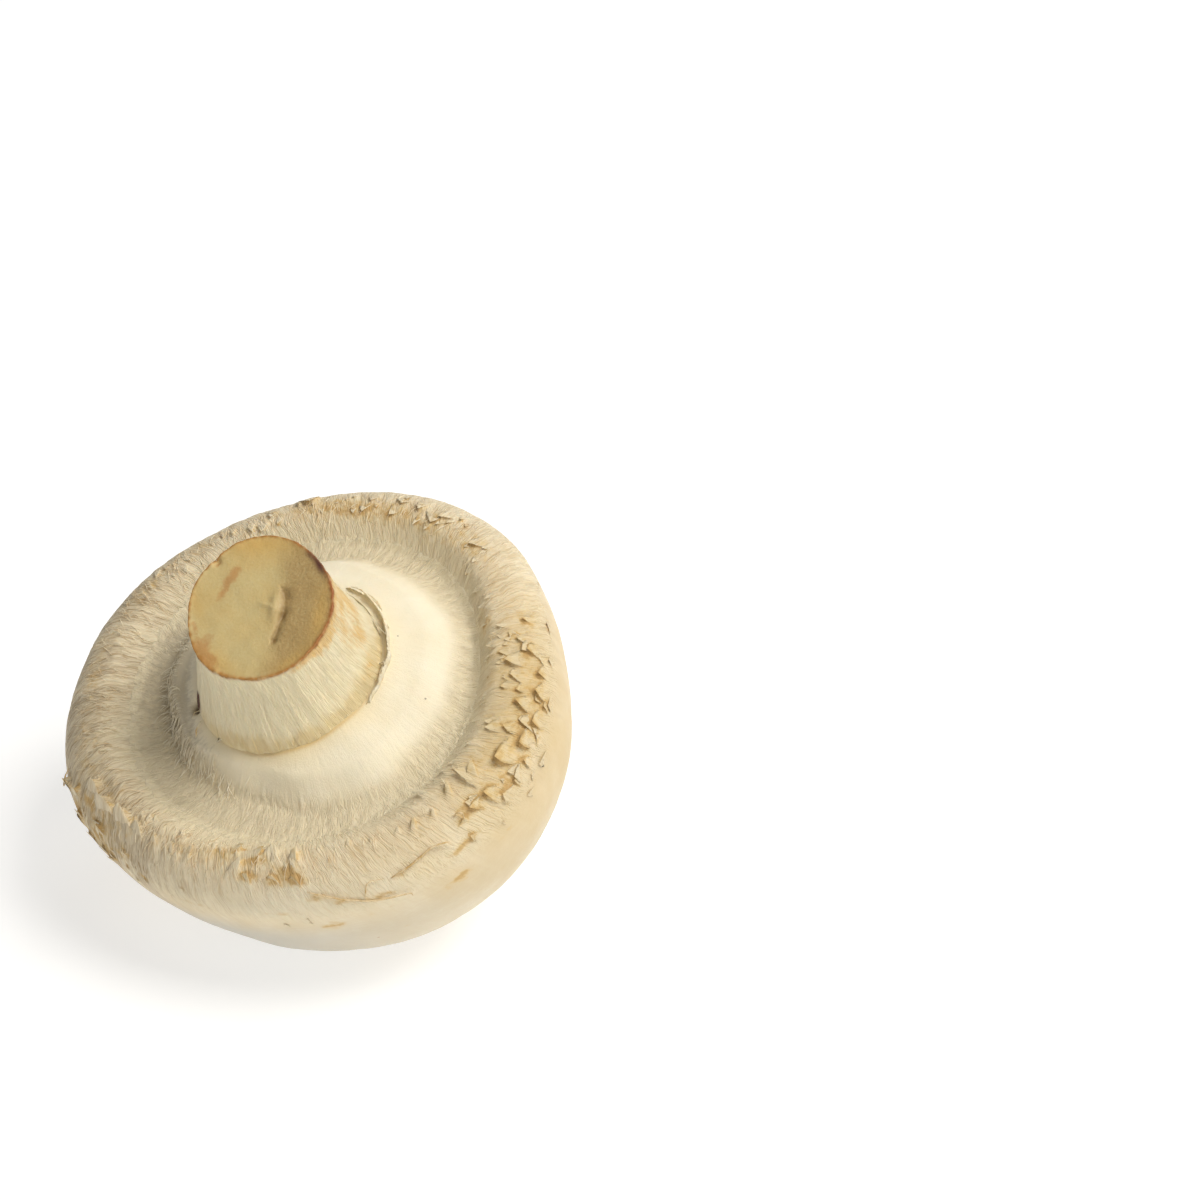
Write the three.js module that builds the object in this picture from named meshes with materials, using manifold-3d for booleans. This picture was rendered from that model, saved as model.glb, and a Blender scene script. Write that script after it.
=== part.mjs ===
// A closed button mushroom, picked and trimmed, resting on the dome of its cap with the cut stem up.
//
// Units are millimetres and +Z is up. Each piece is shaped in the mushroom's own frame, whose
// origin is the middle of the cap's widest circle and whose +Z runs along the stem, away from the
// crown. The whole mushroom then leans over onto a small flat on its dome. The finished group has
// its origin on that resting surface, under the middle of the mushroom.
//
// Azimuths are counted from +X towards +Y round the stem.

import * as THREE from 'three';
import { mergeVertices } from 'three/addons/utils/BufferGeometryUtils.js';
import Module from 'manifold-3d';

const wasm = await Module();
wasm.setup();

// ---------------------------------------------------------------- driving dimensions

// The lean that brings the dome's flat onto the surface
const LEAN_DEGREES = 26.2;
const LEAN_HEADING_DEGREES = -126.1;
const REST_FLAT_DEPTH = 1.6;

// Cap: a deep dome with a thick margin that rolls in over the underside
const RIM_RADIUS = 30.5;
const DOME_DEPTH = 26;
const CROWN_SHIFT_X = 2.2;
const CROWN_SHIFT_Y = -0.7;
const LIP_RADIUS = 25;
const LIP_HEIGHT = 5.5;
const GROOVE_RADIUS = 20.6;
const GROOVE_HEIGHT = 3.2;
const BED_RADIUS = 20;
const BED_HEIGHT = 1.6;
const DINT_DEPTH = 0.9; // a shallow dint low on the dome
const FLAT_SIDE_DEPTH = 0.9; // a flatter stretch of the rim

// Veil: the skin that closes the underside, thickened into a low collar round the stem
const COLLAR_RADIUS = 17;
const COLLAR_HEIGHT = 5.4;
const COLLAR_INNER_HEIGHT = 7;
const COLLAR_BLEND = 1.2; // how far to each side of its edge the collar's uneven shape reaches
const VEIL_EDGE_HEIGHT = 3;

// Stem: flared at the collar, trimmed across with a slightly sloping cut
const STEM_SHIFT_X = -0.9;
const STEM_SHIFT_Y = 0.9;
const STEM_BASE_RADIUS = 11.7;
const STEM_FOOT_INSET = 0.4;
const STEM_CUT_RADIUS = 8.9;
const STEM_CUT_HEIGHT = 19.4;
const STEM_CUT_SLOPE = 0.2;
const STEM_BEND = 0.7; // how far the cut end sits off the foot, towards +X

// Clearance between pieces that touch
const GAP = 0.3;

// How finely each piece is divided round the stem
const CAP_SEGMENTS = 72;
const VEIL_SEGMENTS = 60;
const STEM_SEGMENTS = 44;

// ---------------------------------------------------------------- the mushroom's uneven growth

/** How far the cap's outline swells or shrinks at an azimuth, as a factor near 1. */
function capOutline(azimuth) {
  const wave = (count, amount, peakDegrees) =>
    amount * Math.cos(count * (azimuth - THREE.MathUtils.degToRad(peakDegrees)));
  return 1 + wave(2, 0.024, -13) + wave(3, 0.017, 51) + wave(4, 0.007, 37);
}

/** The same swelling at a radius inside the rim, where it fades towards the stem. */
function swelling(azimuth, radius) {
  return (capOutline(azimuth) - 1) * (radius / RIM_RADIUS) ** 0.8;
}

/** A smooth hump of height 1 at an azimuth, which fades out over a width, both in degrees. */
function hump(azimuth, peakDegrees, widthDegrees) {
  const turn = THREE.MathUtils.radToDeg(azimuth) - peakDegrees;
  const nearest = turn - 360 * Math.round(turn / 360);
  return Math.exp(-((nearest / widthDegrees) ** 2));
}

/** Moves every vertex of a geometry by shift(vertex, azimuth, radius), which changes the vertex. */
function reshape(geometry, shift) {
  const position = geometry.attributes.position;
  const vertex = new THREE.Vector3();
  for (let index = 0; index < position.count; index += 1) {
    vertex.fromBufferAttribute(position, index);
    shift(vertex, Math.atan2(vertex.y, vertex.x), Math.hypot(vertex.x, vertex.y));
    position.setXYZ(index, vertex.x, vertex.y, vertex.z);
  }
  return geometry;
}

/** Turns an outline of [radius, height] pairs round the Z axis into a closed, merged solid. */
function turned(outline, segments) {
  const points = outline.map(([radius, height]) => new THREE.Vector2(radius, height));
  const lathe = new THREE.LatheGeometry(points, segments);
  lathe.rotateX(Math.PI / 2);
  lathe.deleteAttribute('normal');
  lathe.deleteAttribute('uv');
  return mergeVertices(lathe, 1e-4);
}

/** The values from start to end, in equal steps, both ends included. */
function steps(start, end, count) {
  return Array.from({ length: count + 1 }, (_, index) => start + ((end - start) * index) / count);
}

// ---------------------------------------------------------------- cap

/** Radius and height on the dome, at share 0 for the crown to 1 for the rim. */
function domePoint(share) {
  const angle = (share * Math.PI) / 2;
  const radius = RIM_RADIUS * Math.sin(angle) ** 0.95;
  const height = share === 1 ? 0 : -DOME_DEPTH * Math.cos(angle) ** 0.9;
  return [radius, height];
}

/** Radius and height on the rolled margin, at share 0 for the rim to 1 for the lip's ridge. */
function marginPoint(share) {
  const angle = (share * Math.PI) / 2;
  return [LIP_RADIUS + (RIM_RADIUS - LIP_RADIUS) * Math.cos(angle), LIP_HEIGHT * Math.sin(angle)];
}

/** Radius and height from the lip's ridge, at share 0, down to the groove's floor, at share 1. */
function groovePoint(share) {
  const drop = share * share * (3 - 2 * share);
  const radius = LIP_RADIUS + (GROOVE_RADIUS - LIP_RADIUS) * share;
  return [radius, LIP_HEIGHT + (GROOVE_HEIGHT - LIP_HEIGHT) * drop];
}

function makeCapGeometry() {
  const outline = [
    ...steps(0, 1, 15).map(domePoint),
    ...steps(0, 1, 5).slice(1).map(marginPoint),
    ...steps(0, 1, 5).slice(1).map(groovePoint),
    [BED_RADIUS, BED_HEIGHT],
    [BED_RADIUS / 2, BED_HEIGHT],
    [0, BED_HEIGHT],
  ];
  const cap = turned(outline, CAP_SEGMENTS);
  return reshape(cap, (vertex, azimuth, radius) => {
    const depth = Math.max(-vertex.z / DOME_DEPTH, 0);
    const outside = THREE.MathUtils.smoothstep(radius, GROOVE_RADIUS, LIP_RADIUS);
    const dint = DINT_DEPTH * hump(azimuth, 229, 24) * Math.exp(-(((depth - 0.45) / 0.28) ** 2));
    const flatSide = FLAT_SIDE_DEPTH * hump(azimuth, 8, 20) * Math.exp(-((depth / 0.5) ** 2));
    const factor = 1 + swelling(azimuth, radius) - (dint + flatSide * outside) / RIM_RADIUS;
    vertex.x = vertex.x * factor + CROWN_SHIFT_X * depth;
    vertex.y = vertex.y * factor + CROWN_SHIFT_Y * depth;
  });
}

// ---------------------------------------------------------------- veil

/** The collar's radius at an azimuth: wide towards +X, drawn in on the side the stem leans to. */
function collarFactor(azimuth) {
  return 1 + 0.07 * Math.cos(azimuth - 0.2) - 0.1 * hump(azimuth, 238, 30);
}

function makeVeilGeometry() {
  const foot = BED_HEIGHT + GAP;
  const outer = BED_RADIUS - GAP;
  const inner = STEM_BASE_RADIUS + GAP;
  const outline = [
    [inner, foot],
    [(inner + outer) / 2, foot],
    [outer, foot],
    [outer, VEIL_EDGE_HEIGHT],
    [COLLAR_RADIUS + 1.7, VEIL_EDGE_HEIGHT + 0.4],
    [COLLAR_RADIUS + 0.7, COLLAR_HEIGHT - 0.9],
    [COLLAR_RADIUS, COLLAR_HEIGHT],
    [COLLAR_RADIUS - 1.5, COLLAR_HEIGHT + 0.5],
    [inner + 1.2, COLLAR_INNER_HEIGHT - 0.4],
    [inner, COLLAR_INNER_HEIGHT],
    [inner, foot],
  ];
  const veil = turned(outline, VEIL_SEGMENTS);
  return reshape(veil, (vertex, azimuth, radius) => {
    const nearCollar = Math.exp(-(((radius - COLLAR_RADIUS) / COLLAR_BLEND) ** 2));
    const outward = THREE.MathUtils.smoothstep(radius, inner, outer);
    const factor = 1 + swelling(azimuth, radius) * outward + (collarFactor(azimuth) - 1) * nearCollar;
    vertex.x = vertex.x * factor + STEM_SHIFT_X * (1 - outward);
    vertex.y = vertex.y * factor + STEM_SHIFT_Y * (1 - outward);
  });
}

// ---------------------------------------------------------------- stem

/** The stem's radius at a height: full at the collar, then a concave taper up to the cut. */
function stemRadius(height) {
  const rise = THREE.MathUtils.clamp(
    (height - COLLAR_INNER_HEIGHT) / (STEM_CUT_HEIGHT - COLLAR_INNER_HEIGHT),
    0,
    1,
  );
  return STEM_CUT_RADIUS + (STEM_BASE_RADIUS - STEM_CUT_RADIUS) * (1 - rise) ** 1.7;
}

function makeStemGeometry() {
  const foot = BED_HEIGHT + GAP;
  const shaft = steps(COLLAR_INNER_HEIGHT, STEM_CUT_HEIGHT, 8);
  const outline = [
    [0, foot],
    [STEM_BASE_RADIUS - STEM_FOOT_INSET, foot],
    ...shaft.map((height) => [stemRadius(height), height]),
    [0, STEM_CUT_HEIGHT],
  ];
  const stem = turned(outline, STEM_SEGMENTS);
  return reshape(stem, (vertex) => {
    const rise = THREE.MathUtils.smoothstep(vertex.z, COLLAR_INNER_HEIGHT, STEM_CUT_HEIGHT);
    vertex.z += STEM_CUT_SLOPE * vertex.y * rise;
    vertex.x += STEM_SHIFT_X + STEM_BEND * rise;
    vertex.y += STEM_SHIFT_Y;
  });
}

// ---------------------------------------------------------------- resting flat

function toSolid(geometry) {
  const mesh = new wasm.Mesh({
    numProp: 3,
    vertProperties: Float32Array.from(geometry.attributes.position.array),
    triVerts: Uint32Array.from(geometry.index.array),
  });
  return new wasm.Manifold(mesh);
}

function toGeometry(solid) {
  const mesh = solid.getMesh();
  const geometry = new THREE.BufferGeometry();
  geometry.setAttribute('position', new THREE.BufferAttribute(mesh.vertProperties, 3));
  geometry.setIndex(new THREE.BufferAttribute(mesh.triVerts, 1));
  return geometry;
}

const leanHeading = THREE.MathUtils.degToRad(LEAN_HEADING_DEGREES);
const leanTurn = new THREE.Quaternion().setFromAxisAngle(
  new THREE.Vector3(-Math.sin(leanHeading), Math.cos(leanHeading), 0),
  THREE.MathUtils.degToRad(LEAN_DEGREES),
);

/** Shaves the leaning dome level, a little above its lowest point. */
function withRestFlat(cap) {
  const leaning = cap.clone().applyQuaternion(leanTurn);
  leaning.computeBoundingBox();
  const level = leaning.boundingBox.min.z + REST_FLAT_DEPTH;
  const blockHeight = 2 * REST_FLAT_DEPTH;
  const block = new THREE.BoxGeometry(2 * RIM_RADIUS, 2 * RIM_RADIUS, blockHeight);
  block.translate(0, 0, level - blockHeight / 2);
  block.applyQuaternion(leanTurn.clone().invert());
  block.deleteAttribute('normal');
  block.deleteAttribute('uv');
  return toGeometry(toSolid(cap).subtract(toSolid(mergeVertices(block))));
}

// ---------------------------------------------------------------- assembly

function piece(name, geometry, color, roughness) {
  const material = new THREE.MeshStandardMaterial({ color, roughness, metalness: 0 });
  const mesh = new THREE.Mesh(geometry, material);
  mesh.name = name;
  return mesh;
}

const leaningMushroom = new THREE.Group();
leaningMushroom.add(
  piece('cap', withRestFlat(makeCapGeometry()), '#e2d4b6', 0.62),
  piece('veil', makeVeilGeometry(), '#efe4c7', 0.85),
  piece('stem', makeStemGeometry(), '#dcc48c', 0.7),
);
leaningMushroom.quaternion.copy(leanTurn);
leaningMushroom.updateMatrixWorld(true);

const bounds = new THREE.Box3().setFromObject(leaningMushroom, true);
const middle = bounds.getCenter(new THREE.Vector3());
leaningMushroom.position.set(-middle.x, -middle.y, -bounds.min.z);

const mushroom = new THREE.Group();
mushroom.add(leaningMushroom);

export default mushroom;
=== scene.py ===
# %% [markdown]
# # A closed button mushroom, cut stem up
#
# One fresh mushroom lies on the dome of its cap. It has three organs, which are also the three parts
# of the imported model: the cap, whose thick margin rolls in over the underside; the veil, a felt of
# threads that still closes the underside and thickens into a collar; and the stem, trimmed across.
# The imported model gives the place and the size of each, and this script grows the fine skin on them.

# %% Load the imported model
import math
import random

import bmesh
import bpy
import numpy as np
from mathutils import Matrix, Vector, noise


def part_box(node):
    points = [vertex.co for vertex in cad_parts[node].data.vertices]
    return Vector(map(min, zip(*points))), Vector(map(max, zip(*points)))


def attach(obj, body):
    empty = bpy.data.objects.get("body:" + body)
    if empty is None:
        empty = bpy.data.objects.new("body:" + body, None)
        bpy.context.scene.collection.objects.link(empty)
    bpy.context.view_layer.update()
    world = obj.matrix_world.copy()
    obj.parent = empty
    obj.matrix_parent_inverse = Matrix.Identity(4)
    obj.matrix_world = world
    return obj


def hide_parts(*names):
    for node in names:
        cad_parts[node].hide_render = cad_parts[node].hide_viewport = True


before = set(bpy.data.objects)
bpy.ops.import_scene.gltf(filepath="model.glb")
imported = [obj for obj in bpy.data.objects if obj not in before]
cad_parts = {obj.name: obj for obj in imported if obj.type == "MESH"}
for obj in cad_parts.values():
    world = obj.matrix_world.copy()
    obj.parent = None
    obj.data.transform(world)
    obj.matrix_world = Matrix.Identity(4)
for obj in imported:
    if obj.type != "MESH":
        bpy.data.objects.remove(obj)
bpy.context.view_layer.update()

# %% [markdown]
# ## The mushroom's own frame
#
# A mushroom is easiest to describe round its stem, so every shape below is worked out in the
# mushroom's own frame, in millimetres: the origin is the middle of the cap's widest circle, +Z runs
# along the stem away from the crown, and azimuths turn from +X towards +Y. The driving sizes are those
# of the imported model. Only at the very end is a finished mesh leaned over and set down.

# %% Driving sizes, in millimetres
MM = 0.001
LEAN = math.radians(26.2)
LEAN_HEADING = math.radians(-126.1)
RIM_RADIUS = 30.5
DOME_DEPTH = 26.0
CROWN_SHIFT = (2.2, -0.7)
LIP_RADIUS = 25.0
LIP_HEIGHT = 5.5
GROOVE_RADIUS = 20.6
GROOVE_HEIGHT = 3.2
BED_RADIUS = 20.0
BED_HEIGHT = 1.6
COLLAR_RADIUS = 17.0
COLLAR_HEIGHT = 5.4
COLLAR_INNER_HEIGHT = 7.0
STEM_SHIFT = (-0.9, 0.9)
STEM_BASE_RADIUS = 11.7
STEM_CUT_RADIUS = 8.9
STEM_CUT_HEIGHT = 19.4
STEM_CUT_SLOPE = 0.2
STEM_BEND = 0.7
SEED = 11


def hump(azimuth, peak, width):
    """A smooth hump of height 1 at an azimuth in degrees, which fades out over a width in degrees."""
    turn = np.degrees(azimuth) - peak
    nearest = turn - 360 * np.round(turn / 360)
    return np.exp(-((nearest / width) ** 2))


def fade(value, start, end):
    """0 below start, 1 above end, and a smooth rise between."""
    share = np.clip((value - start) / (end - start), 0, 1)
    return share * share * (3 - 2 * share)


def bell(value, middle, width):
    """A smooth hump of height 1 round a value."""
    return np.exp(-(((value - middle) / width) ** 2))


def rough(places, size, seed=0.0):
    """Smooth noise from about -1 to 1 at places in mm. Its bumps are as wide as size, in mm."""
    return np.array([noise.noise(p) for p in (places / np.array(size) + seed + SEED).tolist()])


# %% [markdown]
# ## The skin of the cap as a function
#
# The cap is a lathe shape that grew unevenly. One outline runs from the crown over the dome, the
# rim, the rolled margin and the lip's ridge into the groove. A place on it is named by its azimuth
# and by `across`, the millimetres of skin from the rim: negative towards the crown, 0 to 8.6 over the
# margin, and on to 13.6 in the groove. Keeping this as a function lets the scales and threads further
# down find the skin that they stand on.

# %% The cap's outline and its uneven growth
DOME_SHARES = np.linspace(0, 1, 240)
ROLL_SHARES = np.linspace(0, 1, 80)


def cap_outline():
    """Radius, height and skin distance from the rim, from the crown to the middle of the hidden bed."""
    dome = DOME_SHARES * math.pi / 2
    roll = ROLL_SHARES[1:] * math.pi / 2
    slope = ROLL_SHARES[1:]
    radius = np.concatenate([
        RIM_RADIUS * np.sin(dome) ** 0.95,
        LIP_RADIUS + (RIM_RADIUS - LIP_RADIUS) * np.cos(roll),
        LIP_RADIUS + (GROOVE_RADIUS - LIP_RADIUS) * slope,
        [BED_RADIUS, 0.0],
    ])
    height = np.concatenate([
        -DOME_DEPTH * np.clip(np.cos(dome), 0, 1) ** 0.9,
        LIP_HEIGHT * np.sin(roll),
        LIP_HEIGHT + (GROOVE_HEIGHT - LIP_HEIGHT) * fade(slope, 0, 1),
        [BED_HEIGHT, BED_HEIGHT],
    ])
    length = np.concatenate([[0], np.cumsum(np.hypot(np.diff(radius), np.diff(height)))])
    return radius, height, length - length[len(dome) - 1]


OUTLINE_RADIUS, OUTLINE_HEIGHT, OUTLINE_ACROSS = cap_outline()
CROWN_ACROSS = OUTLINE_ACROSS[0]
# The outline from the groove out to the rim, where radius alone names a place.
LIP_ACROSS = float(np.interp(LIP_RADIUS, OUTLINE_RADIUS[::-1][2:240], OUTLINE_ACROSS[::-1][2:240]))
GROOVE_ACROSS = OUTLINE_ACROSS[-3]
BED_ACROSS = OUTLINE_ACROSS[-2]
CENTRE_ACROSS = OUTLINE_ACROSS[-1]


def cap_swelling(azimuth):
    """How far the outline swells or shrinks at an azimuth."""
    turn = np.degrees(azimuth)
    wave = lambda count, amount, peak: amount * np.cos(np.radians(count * (turn - peak)))
    return wave(2, 0.024, -13) + wave(3, 0.017, 51) + wave(4, 0.007, 37)


def cap_skin(azimuth, across):
    """Points on the cap's smooth skin, as an array of (x, y, z)."""
    radius = np.interp(across, OUTLINE_ACROSS, OUTLINE_RADIUS)
    height = np.interp(across, OUTLINE_ACROSS, OUTLINE_HEIGHT)
    depth = np.clip(-height / DOME_DEPTH, 0, None)
    dint = 0.9 * hump(azimuth, 229, 24) * bell(depth, 0.45, 0.28)
    flat_side = 0.9 * hump(azimuth, 8, 20) * bell(depth, 0, 0.5)
    flat_side *= fade(radius, GROOVE_RADIUS, LIP_RADIUS)
    factor = 1 + cap_swelling(azimuth) * (radius / RIM_RADIUS) ** 0.8 - (dint + flat_side) / RIM_RADIUS
    x = radius * factor * np.cos(azimuth) + CROWN_SHIFT[0] * depth
    y = radius * factor * np.sin(azimuth) + CROWN_SHIFT[1] * depth
    return np.stack([x, y, height], -1)


def surface_normals(surface, first, second, step=0.02):
    """Unit normals of a surface function of an azimuth and a distance."""
    along = surface(first, second + step) - surface(first, second - step)
    around = surface(first + step / 20, second) - surface(first - step / 20, second)
    normal = np.cross(around, along)
    return normal / np.clip(np.linalg.norm(normal, axis=-1, keepdims=True), 1e-9, None)


print("skin from crown to rim", round(-CROWN_ACROSS, 1), "mm, rim to lip", round(LIP_ACROSS, 1),
      "mm, rim to groove", round(GROOVE_ACROSS, 1), "mm")

# %% [markdown]
# ## Setting the mushroom down
#
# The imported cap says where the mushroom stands. The smooth skin is leaned over, its box is measured,
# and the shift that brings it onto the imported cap's box is the mushroom's place. Anything lower than
# the surface it lies on is pressed flat, as the dome of a real mushroom is by its weight.

# %% Lean and place
lean_turn = Matrix.Rotation(LEAN, 4, Vector((-math.sin(LEAN_HEADING), math.cos(LEAN_HEADING), 0)))


def find_place():
    """The matrix from the mushroom's own frame, in mm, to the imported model's frame, in metres."""
    azimuth, across = np.meshgrid(np.linspace(0, math.tau, 181), np.linspace(CROWN_ACROSS, LIP_ACROSS, 120))
    skin = cap_skin(azimuth.ravel(), across.ravel()) @ np.array(lean_turn.to_3x3()).T * MM
    skin_low, skin_high = skin.min(0), skin.max(0)
    cap_low, cap_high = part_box("cap")
    shift = (cap_low + cap_high) / 2 - Vector((skin_low + skin_high) / 2)
    shift.z = cap_high.z - skin_high[2]
    return Matrix.Translation(shift) @ lean_turn @ Matrix.Scale(MM, 4)


place = find_place()
own_origin = place.to_translation()
print("own origin stands at", tuple(round(value, 5) for value in own_origin))

# %% [markdown]
# ## Camera, surface and light
#
# The mushroom lies on a plain white surface and is seen from about 33 degrees above it, left of and
# below the middle of the frame. The surface glows softly, like a light table, so it stays white. A
# strong lamp stands high on the right, a weak one behind on the right lights the cap's upper edge, a
# weaker warm one stands at the front, and a pale sky fills the shadows. All three lamps are soft.

# %% Camera and surface
CAMERA_ELEVATION = math.radians(33)
CAMERA_DISTANCE = 0.419
CAMERA_RIGHT = 0.0341
CAMERA_UP = 0.0124
FLOOR_HALF_WIDTH = 4
FLOOR_GREY = (0.55, 0.55, 0.545, 1)
FLOOR_GLOW = 0.58

right = Vector((1, 0, 0))
back = Vector((0, -math.cos(CAMERA_ELEVATION), math.sin(CAMERA_ELEVATION)))
up = Vector((0, math.sin(CAMERA_ELEVATION), math.cos(CAMERA_ELEVATION)))

camera_data = bpy.data.cameras.new("camera")
camera_data.lens = 105
camera_data.sensor_width = 36
camera_data.clip_start = 0.01
camera_data.clip_end = 20
camera = bpy.data.objects.new("camera", camera_data)
camera.location = own_origin + back * CAMERA_DISTANCE + right * CAMERA_RIGHT + up * CAMERA_UP
camera.rotation_euler = (math.pi / 2 - CAMERA_ELEVATION, 0, 0)
bpy.context.scene.collection.objects.link(camera)
bpy.context.scene.camera = camera


def add_object(name, bm):
    """Makes an object of a bmesh."""
    mesh = bpy.data.meshes.new(name)
    bm.to_mesh(mesh)
    bm.free()
    mesh.shade_smooth()
    made = bpy.data.objects.new(name, mesh)
    bpy.context.scene.collection.objects.link(made)
    return made


surface_bm = bmesh.new()
bmesh.ops.create_grid(surface_bm, x_segments=1, y_segments=1, size=FLOOR_HALF_WIDTH)
surface = add_object("surface", surface_bm)
surface_material = bpy.data.materials.new("white_surface")
surface_material.use_nodes = True
surface_shader = surface_material.node_tree.nodes["Principled BSDF"]
surface_shader.inputs["Base Color"].default_value = FLOOR_GREY
surface_shader.inputs["Roughness"].default_value = 0.8
surface_shader.inputs["Emission Color"].default_value = (1.0, 1.0, 1.0, 1)
surface_shader.inputs["Emission Strength"].default_value = FLOOR_GLOW
surface.data.materials.append(surface_material)


# %% Lamps and sky
# Each lamp: name, azimuth (0 is the viewer's side, 90 the right), elevation, distance, power, colour.
LAMPS = (
    ("key_lamp", 76, 58, 0.9, 6.8, (1.0, 0.97, 0.92)),
    ("back_lamp", 150, 35, 1.0, 1.6, (0.97, 0.98, 1.0)),
    ("front_lamp", 15, 32, 0.9, 1.15, (1.0, 0.95, 0.86)),
)
LAMP_SIZE = 0.5
SKY_WHITE = (1.0, 0.99, 0.97, 1)
SKY_STRENGTH = 0.22


def add_lamp(name, azimuth, elevation, distance, power, colour):
    """A square soft lamp that looks at the mushroom."""
    data = bpy.data.lights.new(name, "AREA")
    data.size = LAMP_SIZE
    data.energy = power
    data.color = colour
    lamp = bpy.data.objects.new(name, data)
    turn, rise = math.radians(azimuth), math.radians(elevation)
    direction = Vector((math.sin(turn) * math.cos(rise), -math.cos(turn) * math.cos(rise), math.sin(rise)))
    lamp.location = own_origin + direction * distance
    lamp.rotation_euler = direction.to_track_quat("Z", "Y").to_euler()
    bpy.context.scene.collection.objects.link(lamp)


for lamp_row in LAMPS:
    add_lamp(*lamp_row)

sky = bpy.data.worlds.new("sky")
sky.use_nodes = True
sky_light = sky.node_tree.nodes["Background"]
sky_light.inputs["Color"].default_value = SKY_WHITE
sky_light.inputs["Strength"].default_value = SKY_STRENGTH
bpy.context.scene.world = sky
bpy.context.scene.view_settings.view_transform = "Standard"
bpy.context.scene.view_settings.look = "None"
print("camera at", tuple(round(value, 4) for value in camera.location), "and", len(LAMPS), "lamps")

# %% [markdown]
# ## Growing a skin from a grid
#
# Cap, veil and stem are all turned shapes. A spin of several hundred steps would do, but it is slow,
# so a flat grid is rolled up instead: its columns become azimuths and its rows become distances along
# the outline. A shaping function moves every vertex to its true place, and merging by distance then
# closes the seam and the poles.

# %% A rolled-up skin
CAP_STEPS = 940
VEIL_STEPS = 700
STEM_STEPS = 480
SETTLE_SOFTNESS = 0.0004
MERGE_DISTANCE = 0.0004


def grow_turned(name, distances, steps, shape):
    """Rolls a grid up round the stem, and moves each vertex to shape(azimuth, distance), in mm."""
    bm = bmesh.new()
    bmesh.ops.create_grid(bm, x_segments=steps, y_segments=len(distances) - 1, size=1)
    flat = np.array([vertex.co[:2] for vertex in bm.verts])
    rows = np.rint((flat[:, 1] + 1) / 2 * (len(distances) - 1)).astype(int)
    move_vertices(bm, *shape(flat[:, 0] * math.pi, np.array(distances)[rows]))
    bmesh.ops.remove_doubles(bm, verts=bm.verts, dist=MERGE_DISTANCE)
    return set_down(name, bm)


def move_vertices(bm, points, attributes):
    """Moves the vertices, and keeps a number or a vector for each, for the materials to read."""
    for vertex, point in zip(bm.verts, points.tolist()):
        vertex.co = point
    for name, values in attributes.items():
        layers = bm.verts.layers.float_vector if values.ndim == 2 else bm.verts.layers.float
        layer = layers.new(name)
        for vertex, value in zip(bm.verts, values.tolist()):
            vertex[layer] = value


def set_down(name, bm):
    """Leans a mesh over, presses flat what would be under the surface, and makes it an object."""
    bmesh.ops.recalc_face_normals(bm, faces=bm.faces)
    bmesh.ops.transform(bm, matrix=place, verts=bm.verts)
    for vertex in bm.verts:
        if vertex.co.z < SETTLE_SOFTNESS:
            vertex.co.z = SETTLE_SOFTNESS * math.exp(vertex.co.z / SETTLE_SOFTNESS - 1)
    print(name, len(bm.verts), "vertices,", len(bm.faces), "faces")
    return add_object(name, bm)


# %% [markdown]
# ## Tools for the finishes
#
# Every finish is built from a few effects that several of them share, so each effect is a node group
# made once: combed threads, patches with broken edges, scattered specks and fine grain. A group gives
# only a mask or a height; the colours are mixed in the finish itself. Places are in millimetres,
# which keeps the sizes of threads and specks true on every piece.


# %% Wiring helpers
def wire(tree, kind, inputs=None, **settings):
    """Adds a node. Inputs are sockets to join or values to set, by name or number."""
    made = tree.nodes.new(kind)
    for name, value in settings.items():
        setattr(made, name, value)
    for name, value in (inputs or {}).items():
        if isinstance(value, bpy.types.NodeSocket):
            tree.links.new(value, made.inputs[name])
        else:
            made.inputs[name].default_value = value
    return made


def sum_up(tree, operation, first, second=0.0, third=0.0, clamp=False):
    """One step of arithmetic on two or three numbers."""
    return wire(tree, "ShaderNodeMath", {0: first, 1: second, 2: third}, operation=operation,
                use_clamp=clamp).outputs[0]


def times(tree, first, second, clamp=False):
    """The product of two numbers."""
    return sum_up(tree, "MULTIPLY", first, second, clamp=clamp)


def stretch(tree, value, factor, start, clamp=False):
    """A number stretched by a factor from a start."""
    return sum_up(tree, "MULTIPLY_ADD", value, factor, start, clamp)


def blend(tree, share, first, second):
    """A mix of two colours."""
    values = {0: share, 6: first, 7: second}
    values = {key: (*value, 1) if isinstance(value, tuple) else value for key, value in values.items()}
    return wire(tree, "ShaderNodeMix", values, data_type="RGBA").outputs[2]


def attribute(tree, name, vector=False):
    """One of the numbers or vectors kept on the vertices."""
    return wire(tree, "ShaderNodeAttribute", attribute_name=name).outputs["Vector" if vector else "Fac"]


def paint(tree, colour, layers):
    """Lays colours over a colour in turn. Each layer is a colour, its mask or attribute, and a strength."""
    for shade, mask, strength in layers:
        mask = attribute(tree, mask) if isinstance(mask, str) else mask
        colour = blend(tree, times(tree, mask, strength), colour, shade)
    return colour


def vector_step(tree, operation, first, second):
    """One step of arithmetic on two vectors, or on a vector and a scale."""
    slot = 3 if operation == "SCALE" else 1
    return wire(tree, "ShaderNodeVectorMath", {0: first, slot: second}, operation=operation).outputs[0]


def noise_at(tree, place_mm, scale, detail, rough_share=0.5):
    """Noise at a place: the node, of which the number or the colour may be used."""
    inputs = {"Vector": place_mm, "Scale": scale, "Detail": detail, "Roughness": rough_share}
    return wire(tree, "ShaderNodeTexNoise", inputs)


def object_place(tree):
    """The place on the piece, in millimetres."""
    return vector_step(tree, "SCALE", wire(tree, "ShaderNodeTexCoord").outputs["Object"], 1 / MM)


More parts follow.
